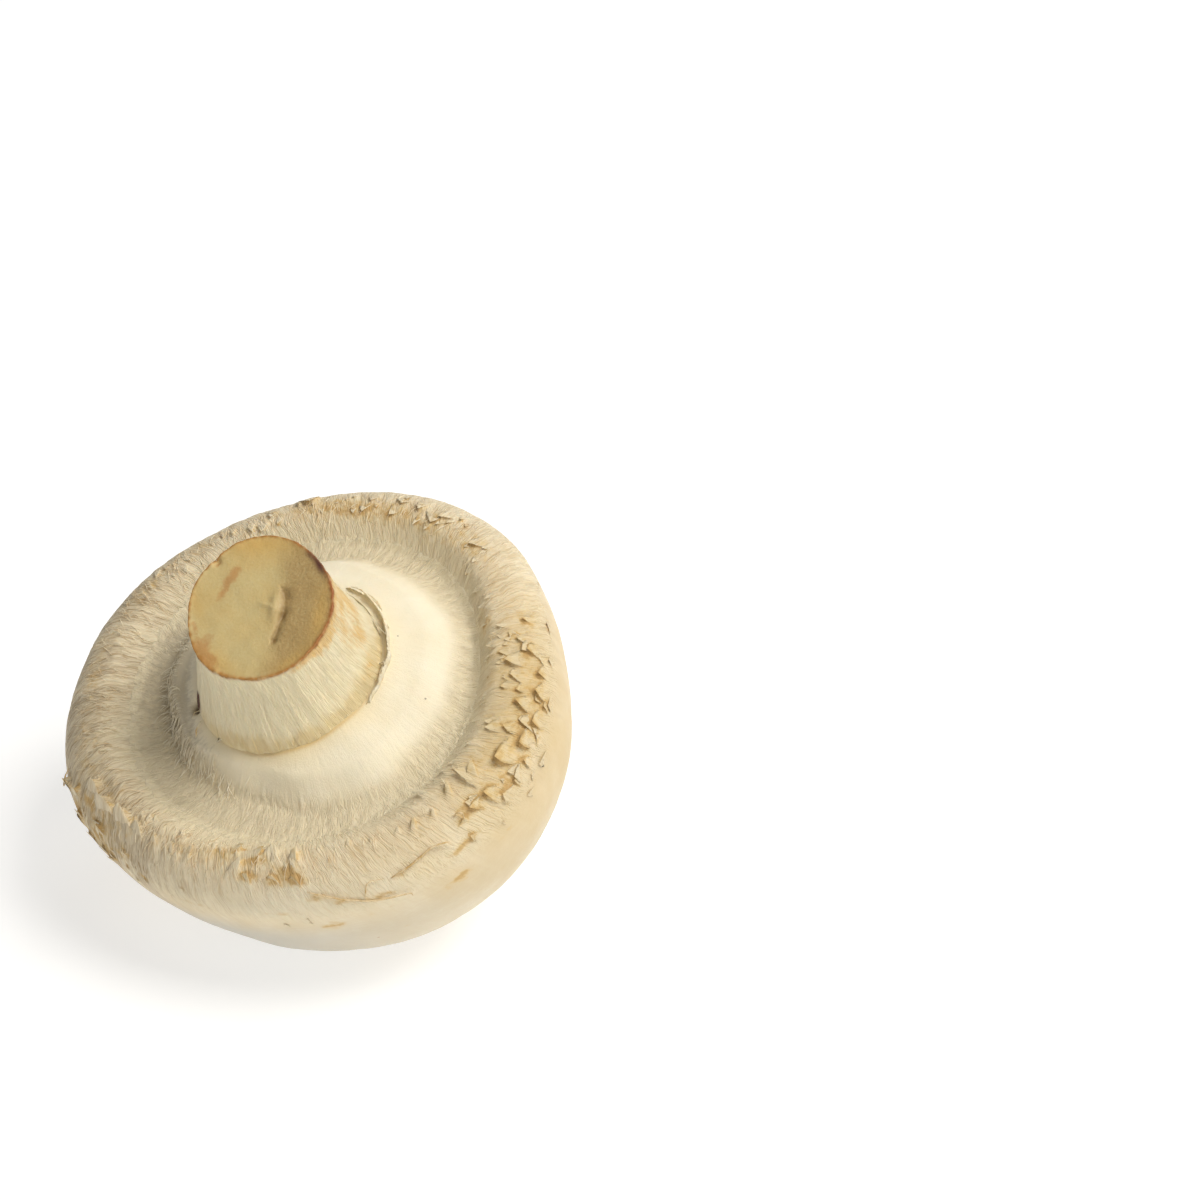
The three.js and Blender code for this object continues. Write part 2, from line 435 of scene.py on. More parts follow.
def start_group(name, inputs, outputs):
    """An empty node group with named inputs, each with its default, and named outputs."""
    group = bpy.data.node_groups.new(name, "ShaderNodeTree")
    for label, default in inputs.items():
        kind = "NodeSocketVector" if default is None else "NodeSocketFloat"
        socket = group.interface.new_socket(label, in_out="INPUT", socket_type=kind)
        if default is not None:
            socket.default_value = default
    for label in outputs:
        group.interface.new_socket(label, in_out="OUTPUT", socket_type="NodeSocketFloat")
    return group, wire(group, "NodeGroupInput").outputs


def finish_group(group, **outputs):
    """Joins the group's outputs."""
    out = wire(group, "NodeGroupOutput")
    for label, socket in outputs.items():
        group.links.new(socket, out.inputs[label])
    return group


def add_group(tree, group, inputs):
    """Adds a node group and sets or joins its inputs."""
    return wire(tree, "ShaderNodeGroup", inputs, node_tree=group)


# %% Combed threads
def combed_threads_group():
    """Strands that run along the Z of the place that is given: 1 on a strand, 0 between strands."""
    group, given = start_group("combed_threads", {"Place": None, "Width": 0.3, "Length": 4.0, "Waver": 0.6},
                               ["Strands", "Bundles"])
    slow = noise_at(group, given["Place"], 0.45, 1.0)
    centred = vector_step(group, "SUBTRACT", slow.outputs["Color"], (0.5, 0.5, 0.5))
    shift = vector_step(group, "SCALE", centred, given["Waver"])
    moved = vector_step(group, "ADD", given["Place"], shift)
    size = wire(group, "ShaderNodeCombineXYZ", {0: given["Width"], 1: given["Width"], 2: given["Length"]})
    narrow = vector_step(group, "DIVIDE", moved, size.outputs[0])
    fine = noise_at(group, narrow, 1.0, 2.0, 0.6)
    away = sum_up(group, "ABSOLUTE", stretch(group, fine.outputs["Fac"], 6.0, -3.0))
    strands = sum_up(group, "SUBTRACT", 1.0, away, clamp=True)
    wide = noise_at(group, narrow, 0.3, 1.0)
    bundles = wire(group, "ShaderNodeMapRange", {0: wide.outputs["Fac"], 1: 0.35, 2: 0.65}).outputs[0]
    return finish_group(group, Strands=strands, Bundles=bundles)


COMBED_THREADS = combed_threads_group()


# %% Patches with broken edges, specks and grain
def shrunk_place(group, place_mm, size):
    """A place measured in steps of a size."""
    return vector_step(group, "SCALE", place_mm, sum_up(group, "DIVIDE", 1.0, size))


def broken_patches_group():
    """Turns a soft mask into patches whose edges are broken up by noise."""
    group, given = start_group("broken_patches", {"Mask": 0.0, "Place": None, "Size": 1.0}, ["Patch"])
    torn = noise_at(group, shrunk_place(group, given["Place"], given["Size"]), 1.0, 4.0, 0.6)
    level = sum_up(group, "ADD", given["Mask"], stretch(group, torn.outputs["Fac"], 1.6, -0.8))
    level = times(group, level, times(group, given["Mask"], 4.0, clamp=True))
    patch = wire(group, "ShaderNodeMapRange", {0: level, 1: 0.15, 2: 0.95}, interpolation_type="SMOOTHSTEP")
    return finish_group(group, Patch=patch.outputs[0])


def specks_group():
    """Small scattered specks. Share is the part of the cells that holds one."""
    inputs = {"Place": None, "Spacing": 3.0, "Share": 0.3, "Radius": 0.06}
    group, given = start_group("specks", inputs, ["Speck"])
    shrunk = shrunk_place(group, given["Place"], given["Spacing"])
    cells = wire(group, "ShaderNodeTexVoronoi", {"Vector": shrunk, "Scale": 1.0})
    near = wire(group, "ShaderNodeMapRange", {0: cells.outputs["Distance"], 1: given["Radius"], 2: 0.0})
    parts = wire(group, "ShaderNodeSeparateColor", {0: cells.outputs["Color"]})
    held = sum_up(group, "LESS_THAN", parts.outputs[0], given["Share"])
    size = times(group, times(group, near.outputs[0], held), 2.5, clamp=True)
    return finish_group(group, Speck=size)


def grain_group():
    """Fine grain and slow blotches, both from 0 to 1."""
    group, given = start_group("grain", {"Place": None, "Size": 0.3}, ["Grain", "Blotches"])
    fine = noise_at(group, shrunk_place(group, given["Place"], given["Size"]), 1.0, 3.0, 0.6)
    slow = noise_at(group, given["Place"], 0.16, 4.0)
    blotches = wire(group, "ShaderNodeMapRange", {0: slow.outputs["Fac"], 1: 0.35, 2: 0.65}).outputs[0]
    return finish_group(group, Grain=fine.outputs["Fac"], Blotches=blotches)


BROKEN_PATCHES = broken_patches_group()
SPECKS = specks_group()
GRAIN = grain_group()


def patches(tree, mask, place_mm, size):
    """The broken patches of a mask: an attribute's name, or a number that is already worked out."""
    mask = attribute(tree, mask) if isinstance(mask, str) else mask
    return add_group(tree, BROKEN_PATCHES, {"Mask": mask, "Place": place_mm, "Size": size}).outputs[0]


def specks(tree, place_mm, spacing, share, radius):
    """Scattered specks at a place."""
    inputs = {"Place": place_mm, "Spacing": spacing, "Share": share, "Radius": radius}
    return add_group(tree, SPECKS, inputs).outputs[0]


def grain_at(tree, place_mm, size):
    """Fine grain and blotches at a place: the outputs of the group."""
    return add_group(tree, GRAIN, {"Place": place_mm, "Size": size}).outputs


def threads_at(tree, place_mm, width, length, waver):
    """Combed threads at a place: the outputs of the group."""
    inputs = {"Place": place_mm, "Width": width, "Length": length, "Waver": waver}
    return add_group(tree, COMBED_THREADS, inputs).outputs


def start_finish(name, waxy, glow, depth):
    """A material whose flesh lets a share of the light through, to about a depth in mm."""
    material = bpy.data.materials.new(name)
    material.use_nodes = True
    shader = material.node_tree.nodes["Principled BSDF"]
    shader.inputs["Subsurface Weight"].default_value = glow
    shader.inputs["Subsurface Radius"].default_value = (1.0, 0.7, 0.45)
    shader.inputs["Subsurface Scale"].default_value = depth * MM
    shader.inputs["Specular IOR Level"].default_value = waxy
    return material, material.node_tree, shader


def finish_shader(tree, shader, colour, roughness, height, relief):
    """Joins colour, roughness and a bump that is relief mm high."""
    tree.links.new(colour, shader.inputs["Base Color"])
    tree.links.new(roughness, shader.inputs["Roughness"])
    bump = wire(tree, "ShaderNodeBump", {"Height": height, "Distance": relief * MM, "Strength": 1.0})
    tree.links.new(bump.outputs[0], shader.inputs["Normal"])


print("node groups", sorted(group.name for group in bpy.data.node_groups))

# %% [markdown]
# ## Where the skin has torn
#
# As the cap grew, the skin of its rolled margin cracked into small tongues, or scales. They point
# towards the stem, lift at the tip, and dry tan to brown along their free edges. The large ones stand
# in a crowd on the right, in a short row of lobes at the front and as a few curls at the lower left;
# these are set one by one. Slim small ones make the ragged fringe on the lip; these are drawn from
# seeded random numbers. They are listed before the cap, because the skin under each is painted tan
# and brown: stain, and painted shadow under the lifted tip.

# %% The scales, one row each: azimuth and across of the tip, length, width, heading, bend, brownness
# A heading of 0 points to the stem and a positive one turns towards larger azimuths. Degrees and mm.
SCALES_RIGHT = [
    (6, 5.4, 2.8, 1.5, 5, 0.4, 0.8), (0, 6.3, 3.0, 1.9, 5, 0.35, 0.6),
    (356, 5.3, 3.4, 2.4, -12, 0.45, 0.8), (355, 8.4, 2.8, 1.3, 0, 0.25, 0.6),
    (351, 4.0, 3.4, 2.2, -18, 0.4, 0.8), (348, 7.0, 3.2, 1.8, -10, 0.3, 0.5),
    (346, 4.3, 3.6, 2.6, -18, 0.5, 0.9), (343, 2.6, 2.6, 1.7, -30, 0.4, 0.8),
    (341, 6.0, 3.4, 2.3, -22, 0.45, 0.8), (338, 3.8, 3.6, 2.6, -28, 0.5, 1.0),
    (334, 6.4, 3.2, 1.9, -20, 0.35, 0.7), (332, 4.4, 3.8, 2.6, -35, 0.55, 0.9),
    (329, 2.7, 2.8, 1.6, -35, 0.4, 0.7), (326, 5.9, 4.4, 3.2, -38, 0.55, 1.0),
    (324, 2.4, 2.8, 1.5, -38, 0.35, 0.7), (321.6, 7.5, 4.5, 1.8, 50, 0.55, 0.6),
    (317, 4.4, 4.0, 2.3, -50, 0.5, 1.0), (313, 4.7, 3.4, 1.7, -52, 0.45, 0.9),
    (313.7, 8.3, 3.4, 0.9, 45, 0.5, 0.5), (310.5, 4.3, 2.6, 1.3, 40, 0.3, 0.8),
    (306.4, 7.3, 2.6, 0.8, 44, 0.4, 0.4), (301.5, 7.6, 3.4, 0.8, 47, 0.45, 0.5),
    (297, 7.9, 2.2, 0.7, 40, 0.3, 0.4), (309, 2.2, 2.6, 1.4, -40, 0.3, 0.6),
]
SCALES_FRONT = [
    (252.8, 9.6, 3.0, 1.4, 70, 0.45, 0.7), (259.4, 9.5, 2.6, 1.4, 55, 0.5, 0.8),
    (261.5, 10.0, 2.6, 2.0, 5, 0.5, 0.4), (270, 8.8, 3.0, 1.5, 42, 0.65, 0.8),
    (255.8, 6.4, 1.8, 1.8, 40, 0.3, 0.8), (263, 6.2, 1.8, 2.0, 25, 0.3, 0.8),
    (268.8, 6.0, 2.0, 2.0, 45, 0.3, 0.9), (284, 9.0, 1.8, 0.8, 15, 0.3, 0.4),
    (290, 8.2, 1.8, 0.8, 25, 0.3, 0.4),
]
SCALES_LEFT = [
    (191, 3.1, 2.6, 2.2, -20, 0.8, 0.3), (199, 7.2, 3.4, 2.6, -30, 0.9, 0.2),
    (206, 7.4, 3.6, 3.0, -25, 1.1, 0.2), (213.5, 8.2, 3.8, 2.8, -20, 1.0, 0.2),
    (220, 8.0, 3.0, 2.2, -5, 0.6, 0.4), (204, 0.9, 2.6, 1.2, -60, 0.25, 0.6),
    (213, 0.9, 2.6, 1.2, -60, 0.25, 0.6), (219, 3.9, 2.8, 1.2, -40, 0.3, 0.6),
    (226, 7.8, 2.6, 1.2, -10, 0.4, 0.4), (196, 4.4, 3.0, 1.6, -40, 0.6, 0.5),
    (209, 4.2, 3.0, 1.4, -50, 0.5, 0.6), (199, 2.2, 2.8, 1.2, -55, 0.4, 0.6),
]
# Drawn at random: how many, azimuth from and to, across from and to, length, width, bend, brownness
SCALES_DRAWN = [
    (24, 310, 368, 1.6, 8.2, 2.6, 1.7, 0.18, 0.5),
    (60, 182, 278, 7.0, 9.8, 2.2, 0.6, 0.25, 0.15),
    (44, 28, 112, 6.0, 9.6, 2.2, 1.2, 0.2, 0.35),
    (30, 112, 182, 6.2, 9.4, 2.4, 0.7, 0.15, 0.2),
    (40, 306, 392, 7.8, 11.2, 2.0, 0.8, 0.2, 0.25),
    (14, 194, 238, 0.2, 4.6, 2.4, 0.9, 0.16, 0.5),
    (8, 235, 345, -1.5, 1.4, 2.4, 1.0, 0.03, 0.15),
    (6, 20, 180, -1.0, 3.0, 2.2, 1.0, 0.05, 0.2),
]


def draw_scales():
    """All the scales: those set one by one, and those drawn at random."""
    rows = [(*row[:5], 0.8 * row[5], row[6]) for row in SCALES_RIGHT] + SCALES_FRONT + SCALES_LEFT
    for count, turn_from, turn_to, from_rim, to_rim, length, width, bend, brown in SCALES_DRAWN:
        for _ in range(count):
            turn = draw.uniform(turn_from, turn_to)
            lean_right = -35 * float(hump(math.radians(turn), 325, 20))
            lean_left = -40 * float(hump(math.radians(turn), 212, 20))
            size = draw.lognormvariate(0, 0.3)
            tip = draw.uniform(from_rim, to_rim)
            broad = width * draw.uniform(0.6, 1.4) * size
            heading = lean_right + lean_left + draw.gauss(0, 16)
            rows.append((turn, tip, length * size, broad, heading, bend * draw.uniform(0.4, 1.6),
                         brown * draw.uniform(0.3, 1.3)))
    return rows


draw = random.Random(SEED)
scales = draw_scales()
print(len(scales), "scales")

# %% [markdown]
# ## One rule for a scale's shape
#
# A scale is described in its own coordinates: `along` runs from 0 at the base to 1 at the tip, and
# `sideways` from -1 to 1 across it. The skin below rises by the same rule, up to the scale's free
# edge, so that the scale seems to grow out of the skin and not to lie on it.


# %% Width, rise and browned edge of a scale
def scale_half_width(along, length, width):
    """Half the width: full at the base, pointed on a slim scale and rounder on a broad one."""
    blunt = 1.7 + 1.8 * np.clip(width / length, 0, 1)
    return width / 2 * np.clip(1 - np.clip(along, 0, 1) ** blunt, 0, 1) ** 0.75


def scale_rise(along, length, bend):
    """How far the scale has risen from the skin."""
    return length * along * np.sin(0.5 * bend * np.clip(along, 0, None) ** 1.2)


def scale_sway(along, width, turn):
    """A slight sideways bend, which differs from scale to scale."""
    return 0.12 * width * np.sin(5 * along + turn)


def scale_edge(sideways, along):
    """1 at the free edge, which dries brown, and 0 on the body of the scale."""
    return np.clip(np.maximum(np.abs(sideways) ** 2 * along ** 0.7, along ** 1.8), 0, 1)


def skin_under_scales(azimuth, across):
    """The rise of the skin under the scales, and the brown line along their outlines: stain and painted crease
    shade.
    """
    rise, edge_brown_and_crease_shade = np.zeros_like(across), np.zeros_like(across)
    for turn, tip, length, width, heading, bend, brown in scales:
        gap = azimuth - math.radians(turn)
        gap = (gap - math.tau * np.round(gap / math.tau)) * np.interp(tip, OUTLINE_ACROSS, OUTLINE_RADIUS)
        near = (np.abs(gap) < 1.6 * length) & (np.abs(across - tip) < 1.6 * length)
        gap, ahead = gap[near], across[near] - tip
        cos, sin = math.cos(math.radians(heading)), math.sin(math.radians(heading))
        along = 1 + (ahead * cos + gap * sin) / length
        aside = gap * cos - ahead * sin - scale_sway(along, width, turn)
        half = scale_half_width(along, length, width) + 0.05
        inside = fade(along, -0.3, 0.5) * (1 - fade(along, 0.85, 1.06))
        inside *= 1 - fade(np.abs(aside) / half, 0.7, 1.35)
        lifted = 0.85 * scale_rise(along, length, bend) + 0.06 * width * along
        rise[near] = np.maximum(rise[near], inside * lifted)
        # Brown along the scale's outline on the skin: stain and painted shade in the crease.
        line = bell(np.abs(aside), half, 0.16) * fade(along, 0.25, 0.8) * (along < 1.1)
        edge_brown_and_crease_shade[near] = np.maximum(edge_brown_and_crease_shade[near], brown * line)
    return rise, edge_brown_and_crease_shade


# %% [markdown]
# ## Marks on the skin
#
# Handling, damp and drying have stained this mushroom: tan patches along the lip and under the torn
# scales, a few small ones on the dome. The tan under the scales' lifted tips is partly painted shadow.
# Each mark is a soft spot in azimuth and distance. The spots are summed into a mask per vertex, and
# the material breaks their edges up with finer noise.


# %% Soft spots
def spots(azimuth, across, marks):
    """The sum of soft marks, each (azimuth, across, half width in degrees, half width in mm, strength)."""
    total = np.zeros_like(azimuth)
    for peak, middle, turn, width, strength in marks:
        near = np.abs(across - middle) < 2.5 * width
        total[near] += strength * hump(azimuth[near], peak, turn) * bell(across[near], middle, width)
    return np.clip(total, 0, 1)


CAP_TAN = [
    (345, 4.0, 14, 4.0, 0.3), (325, 4.5, 12, 4.0, 0.3), (308, 5.5, 9, 2.5, 0.2), (6, 5.5, 9, 2.5, 0.4),
    (8, 10.5, 7, 1.6, 0.5), (348, 10.0, 8, 2.0, 0.3), (262, 7.6, 12, 1.4, 0.3),
    # The first three spots here lie just under the tips of the front lobes: stain and painted shadow.
    (255.8, 5.9, 2.6, 0.7, 0.75), (263, 5.6, 2.6, 0.7, 0.8), (268.8, 5.5, 3, 0.7, 0.85),
    (246, 8.6, 4, 0.7, 0.5), (257, 8.0, 3, 0.6, 0.6), (266, 6.8, 2.5, 0.6, 0.7),
    (306, 1.6, 3.5, 0.6, 0.7), (273, 3.2, 3.0, 0.7, 0.8), (277, 2.0, 3, 0.5, 0.6),
    (286, 1.4, 4.0, 0.6, 0.6), (292, 3.0, 2.0, 0.4, 0.8), (238, 7.6, 14, 2.0, 0.3),
    (212, 6.5, 12, 3.0, 0.3), (205, 3.0, 12, 3.5, 0.35), (188, 6.5, 10, 2.5, 0.25),
    (198, 1.5, 3, 0.3, 0.7), (203, 0.3, 4, 0.3, 0.7), (208, 2.2, 3, 0.3, 0.6), (214, 1.2, 4, 0.3, 0.6),
    (220, 0.4, 4, 0.3, 0.6), (226, 2.0, 4, 0.3, 0.5), (217, 3.0, 3, 0.3, 0.5),
    (202, 4.8, 2.5, 0.5, 0.6), (165, 7.2, 12, 1.5, 0.3), (140, 7.0, 12, 1.6, 0.3),
    (118, 7.0, 10, 1.8, 0.3), (85, 7.8, 14, 2.2, 0.5), (70, 8.6, 12, 2.0, 0.55),
    (50, 8.6, 14, 2.2, 0.45), (33, 7.6, 10, 2.2, 0.35), (272.7, -2.2, 2.8, 0.6, 1.6),
    (302, -2.3, 3.0, 0.4, 1.2), (284, -1.2, 8, 0.6, 0.3), (296, -4.5, 12, 0.8, 0.2),
    (303, -3.0, 5, 0.4, 0.5), (318, -2.0, 5, 0.4, 0.5), (328, -5.0, 5, 0.5, 0.4),
    (312, -7.5, 7, 0.5, 0.4), (285, -6.5, 8, 0.5, 0.3), (255, -2.5, 6, 0.4, 0.35),
    (240, 1.0, 6, 0.4, 0.4), (263, 1.2, 6, 0.4, 0.4), (150, -3, 6, 0.5, 0.35), (118, -5, 8, 0.6, 0.3),
    (75, -8, 7, 0.6, 0.35), (20, -9, 8, 0.7, 0.35), (95, -14, 9, 0.8, 0.3), (30, -4, 20, 3, 0.2),
    (100, -6, 25, 3, 0.15), (160, -9, 15, 3, 0.2), (60, -16, 14, 4, 0.2),
]
# Weathered skin, and painted shade on the left lip, the left of the dome and the upper left groove: the
# same, but not held to 1, because its finish thins it out again.
CAP_WEATHERING_AND_SHADE = [
    (350, 1.0, 34, 4.5, 0.8), (185, 4.5, 50, 5.0, 1.8), (206, 5.0, 18, 3.0, 1.5), (205, -4.0, 32, 5.0, 0.9),
    (208, 9.0, 13, 1.7, 1.3), (158, 12.0, 26, 4.0, 0.8), (60, 5.5, 50, 3.5, 0.5),
]
# Tan under each scale's tip: stain, and painted shadow of the lifted tip.
STAIN_AND_SHADOW_UNDER_SCALES = [
    (turn, tip - 0.1, 0.4 * math.degrees(length / RIM_RADIUS), 0.25 * length, 0.45 * brown)
    for turn, tip, length, _, _, _, brown in scales
]

# %% [markdown]
# ## The cap
#
# The margin's skin is combed: fine ridges run from the rim over the lip into the groove, because the
# veil's threads tore away from it as the cap opened. On the dome the same skin is stretched smooth
# and shows only faint swellings. The relief is pushed out along the skin's normals in three sizes,
# slow swellings, crumples on the margin and combed ridges, so that the finest threads are the only
# thing left for the material's bump.


# %% Relief of the cap
def combed_place(azimuth, distance):
    """A place whose X and Y go round a circle of the margin's radius and whose Z runs across the skin.
    Noise that is narrow in X and Y and long in Z follows the combing, and has no seam."""
    turn = azimuth + 0.012 * distance
    return np.stack([26 * np.cos(turn), 26 * np.sin(turn), distance], -1)


def waver(places, points, size, amount):
    """Places pushed a little sideways by noise, so that the combing wavers."""
    push = [rough(points, size, 3), rough(points, size, 5), np.zeros(len(points))]
    return places + amount * np.stack(push, -1)


def slow_swell(places):
    """The slow swellings that cap and veil share, so that the two meet everywhere in the groove."""
    return 0.26 * rough(places, 13) + 0.10 * rough(places, 5, 1)


def cap_surface(azimuth, across):
    """The cap's skin with its swellings and crumples, but without the fine combing."""
    smooth = cap_skin(azimuth, across)
    normal = surface_normals(cap_skin, azimuth, across)
    margin = fade(across, -2.5, 2.0) * (1 - fade(across, GROOVE_ACROSS - 1.0, GROOVE_ACROSS))
    ridge = bell(across, LIP_ACROSS - 2.0, 3.0)
    warp = waver(combed_place(azimuth, across), smooth, 4, 1.2)
    crumple = 0.13 * rough(warp, (1.3, 1.3, 4.0), 7) * (0.25 * margin + 0.75 * ridge * margin)
    crumple *= 1 - 0.45 * hump(azimuth, 300, 60)
    visible = 1 - fade(across, GROOVE_ACROSS, BED_ACROSS)
    relief = (slow_swell(smooth) + crumple) * visible
    return smooth + normal * relief[..., None]


def ridged(places, size, seed):
    """Noise with sharp ridges and round valleys, from about -1 to 1."""
    return 1 - 4 * np.abs(rough(places, size, seed))


def lip_attributes(azimuth, across):
    """Three masks that skin and scales share: the lip, the groove, and the golden right side, whose gold is
    painted warm bounce light and shade.
    """
    golden = hump(azimuth, 341, 40) * fade(across, -16, -5) * (1 - fade(across, 7.5, 11))
    return {"lip": bell(across, LIP_ACROSS - 1.6, 2.6),
            "groove": fade(across, LIP_ACROSS - 0.8, LIP_ACROSS + 2.4), "golden": golden}


def shape_cap(azimuth, across):
    """The cap's vertices and the attributes that its material reads."""
    surface_points = cap_surface(azimuth, across)
    normal = surface_normals(cap_skin, azimuth, across)
    combed = combed_place(azimuth, across)
    margin = fade(across, -2.5, 2.0) * (1 - fade(across, GROOVE_ACROSS - 0.6, GROOVE_ACROSS))
    warp = waver(combed, surface_points, 4, 0.6)
    comb = 0.030 * ridged(warp, (0.55, 0.55, 5.0), 2) + 0.035 * rough(warp, (0.34, 0.34, 4.5), 9)
    comb *= 1.1 - 0.65 * hump(azimuth, 305, 62)
    skin = 0.02 * rough(surface_points, 1.2, 4) * (1 - margin)
    stroke = 0.025 * rough(combed, (1.2, 1.2, 6.0), 8) * (1 - margin)
    rise, edge_brown_and_crease_shade = skin_under_scales(azimuth, across)
    # Tan marks, with painted shadow under each scale's tip and painted shade along its outline.
    tan = spots(azimuth, across, CAP_TAN) + spots(azimuth, across, STAIN_AND_SHADOW_UNDER_SCALES)
    tan = np.clip(tan + 0.6 * edge_brown_and_crease_shade, 0, 1)
    # Weathering, with painted shade on the left lip, the left of the dome and the upper left groove.
    weathering_and_shade = sum(strength * hump(azimuth, peak, turn) * bell(across, middle, width)
                    for peak, middle, turn, width, strength in CAP_WEATHERING_AND_SHADE)
    # Painted shade: a cool grey on the dome's underside towards the front.
    painted_dome_shade = hump(azimuth, 246, 46) * (1 - fade(across, -6, 0.5))
    attributes = {"combed": combed, "margin": margin, "tan": tan, "weathering_and_shade": weathering_and_shade,
                  "painted_dome_shade": painted_dome_shade, **lip_attributes(azimuth, across)}
    fine = comb * margin * (0.5 + 0.5 * attributes["lip"]) + skin + stroke
    return surface_points + normal * (rise + fine)[:, None], attributes


def make_cap():
    """The cap's skin, with its rows closer together towards the rim."""
    dome = CROWN_ACROSS * (1 - np.linspace(0, 1, 42)) ** 1.3
    roll = np.linspace(0, GROOVE_ACROSS, 60)[1:]
    hidden = [BED_ACROSS, (BED_ACROSS + CENTRE_ACROSS) / 2, CENTRE_ACROSS]
    return grow_turned("cap_skin", np.concatenate([dome, roll, hidden]), CAP_STEPS, shape_cap)


cap = make_cap()

# %% [markdown]
# ## The cap's finish
#
# The skin is off-white and matt, waxy where it is stretched. It is painted in layers, from below: beige
# on the lip, greyish felt in the groove, weathered skin with painted shade on the left, a gold of painted
# warm bounce light and shade on the right, a cool grey of painted shade on the dome's front, and a pale
# strand for each combed thread. Tan patches follow the marks and the painted shadow under the scales,
# with brown in their hearts, and a few specks are scattered over everything.


# %% Skin finish
CREAM = (0.86, 0.77, 0.57)
CREAM_DEEP = (0.78, 0.66, 0.43)
BEIGE = (0.69, 0.50, 0.27)
FELT_GREY = (0.72, 0.60, 0.385)
PALE_STRAND = (0.92, 0.83, 0.62)
TAN = (0.67, 0.46, 0.17)
# Weathered skin, darkened further by painted shade on the left.
WEATHERING_AND_SHADE_BROWN = (0.44, 0.32, 0.18)
# A gold of painted warm bounce light and shade for the right side.
WARM_BOUNCE_GOLD = (0.67, 0.515, 0.275)
# A cool grey of painted shade for the dome's front.
PAINTED_SHADE_GREY = (0.56, 0.53, 0.455)
BROWN = (0.44, 0.23, 0.07)


def skin_colours(tree, tan):
    """The colour, and the strands, of the skin. Tan is the mask of its marks; on the cap it holds painted
    shadow under the scales too.
    """
    combed = attribute(tree, "combed", vector=True)
    margin = attribute(tree, "margin")
    golden = attribute(tree, "golden")
    grain = grain_at(tree, object_place(tree), 0.35)
    threads = threads_at(tree, combed, 0.28, 5.5, 0.8)
    faint = threads_at(tree, combed, 0.9, 9.0, 2.0)
    streaks = threads_at(tree, combed, 5.0, 0.35, 1.6)
    lip_share = times(tree, attribute(tree, "lip"), stretch(tree, threads["Bundles"], 0.45, 0.4))
    # Weathering, with painted shade on the left.
    weathering_and_shade_share = times(tree, attribute(tree, "weathering_and_shade"), stretch(tree, threads["Bundles"], 0.75, 0.2))
    # On the right, a golden tint of painted warm bounce light and shade; it also thins the pale strands.
    warm_bounce_share = times(tree, golden, stretch(tree, grain["Blotches"], 0.3, 0.66))
    strands = times(tree, times(tree, threads["Strands"], margin), stretch(tree, golden, -0.42, 0.62))
    patch = patches(tree, tan, combed, 1.1)
    hearts = wire(tree, "ShaderNodeMapRange", {0: patch, 1: 0.6, 2: 1.0, 4: 0.4}).outputs[0]
    colour = paint(tree, blend(tree, grain["Blotches"], CREAM, CREAM_DEEP), (
        (BEIGE, faint["Strands"], 0.16),
        (BEIGE, times(tree, streaks["Strands"], stretch(tree, margin, -0.16, 0.2)), 1),
        (BEIGE, lip_share, 1),
        (FELT_GREY, "groove", 0.75),
        (WEATHERING_AND_SHADE_BROWN, weathering_and_shade_share, 1),
        (WARM_BOUNCE_GOLD, warm_bounce_share, 1),
        # Painted shade: the cool grey on the dome's front.
        (PAINTED_SHADE_GREY, "painted_dome_shade", 0.9),
        (PALE_STRAND, strands, 1),
        (TAN, patch, 0.8),
        (BROWN, hearts, 1),
        (BROWN, specks(tree, object_place(tree), 4.0, 0.25, 0.05), 0.6),
    ))
    return colour, threads, grain, margin


def skin_finish():
    """Matt skin whose combed strands stand up a little."""
    material, tree, shader = start_finish("mushroom_skin", 0.35, 0.15, 1.0)
    colour, threads, grain, margin = skin_colours(tree, attribute(tree, "tan"))
    roughness = stretch(tree, margin, 0.16, stretch(tree, grain["Grain"], 0.25, 0.42))
    strands = times(tree, threads["Strands"], margin)
    height = stretch(tree, grain["Grain"], 0.45, strands)
    finish_shader(tree, shader, colour, roughness, height, 0.07)
    return material


cap.data.materials.append(skin_finish())

# %% [markdown]
# ## The scales themselves
#
# A scale is a small grid that narrows to its tip and bends up along its length. Its base is sunk a
# little under the skin, so that it seems to grow out of it, and its sides droop to the skin. Solidify
# gives it the thickness of a skin. Hundreds of them make one piece, each with a few dozen faces.

# %% Growing scales
SCALE_COLUMNS = 4
SCALE_ROWS = 6
SCALE_THICKNESS = 0.05
SCALE_SINK = 0.30


def scale_points(surface_at, radius_at, fields, sideways, along):
    """Where the vertices of all the scales go, their browned edge, azimuth and distance."""
    turn, tip, length, width, heading, bend, brown = fields
    heading = np.radians(heading)
    half = scale_half_width(along, length, width)
    side = sideways * half + scale_sway(along, width, turn)
    height = scale_rise(along, length, bend) + 0.08 * width * along - SCALE_SINK * (1 - along) ** 2
    height += half * sideways ** 2 * (0.36 * along - 0.22)
    ahead = length * along * (1.08 - 0.1 * bend * along) - length
    distance = tip + ahead * np.cos(heading) - side * np.sin(heading)
    azimuth = np.radians(turn) + (ahead * np.sin(heading) + side * np.cos(heading)) / radius_at(tip)
    normals = surface_normals(surface_at, azimuth, distance, 0.1)
    points = surface_at(azimuth, distance) + normals * height[:, None]
    return points, scale_edge(sideways, along) * brown, azimuth, distance


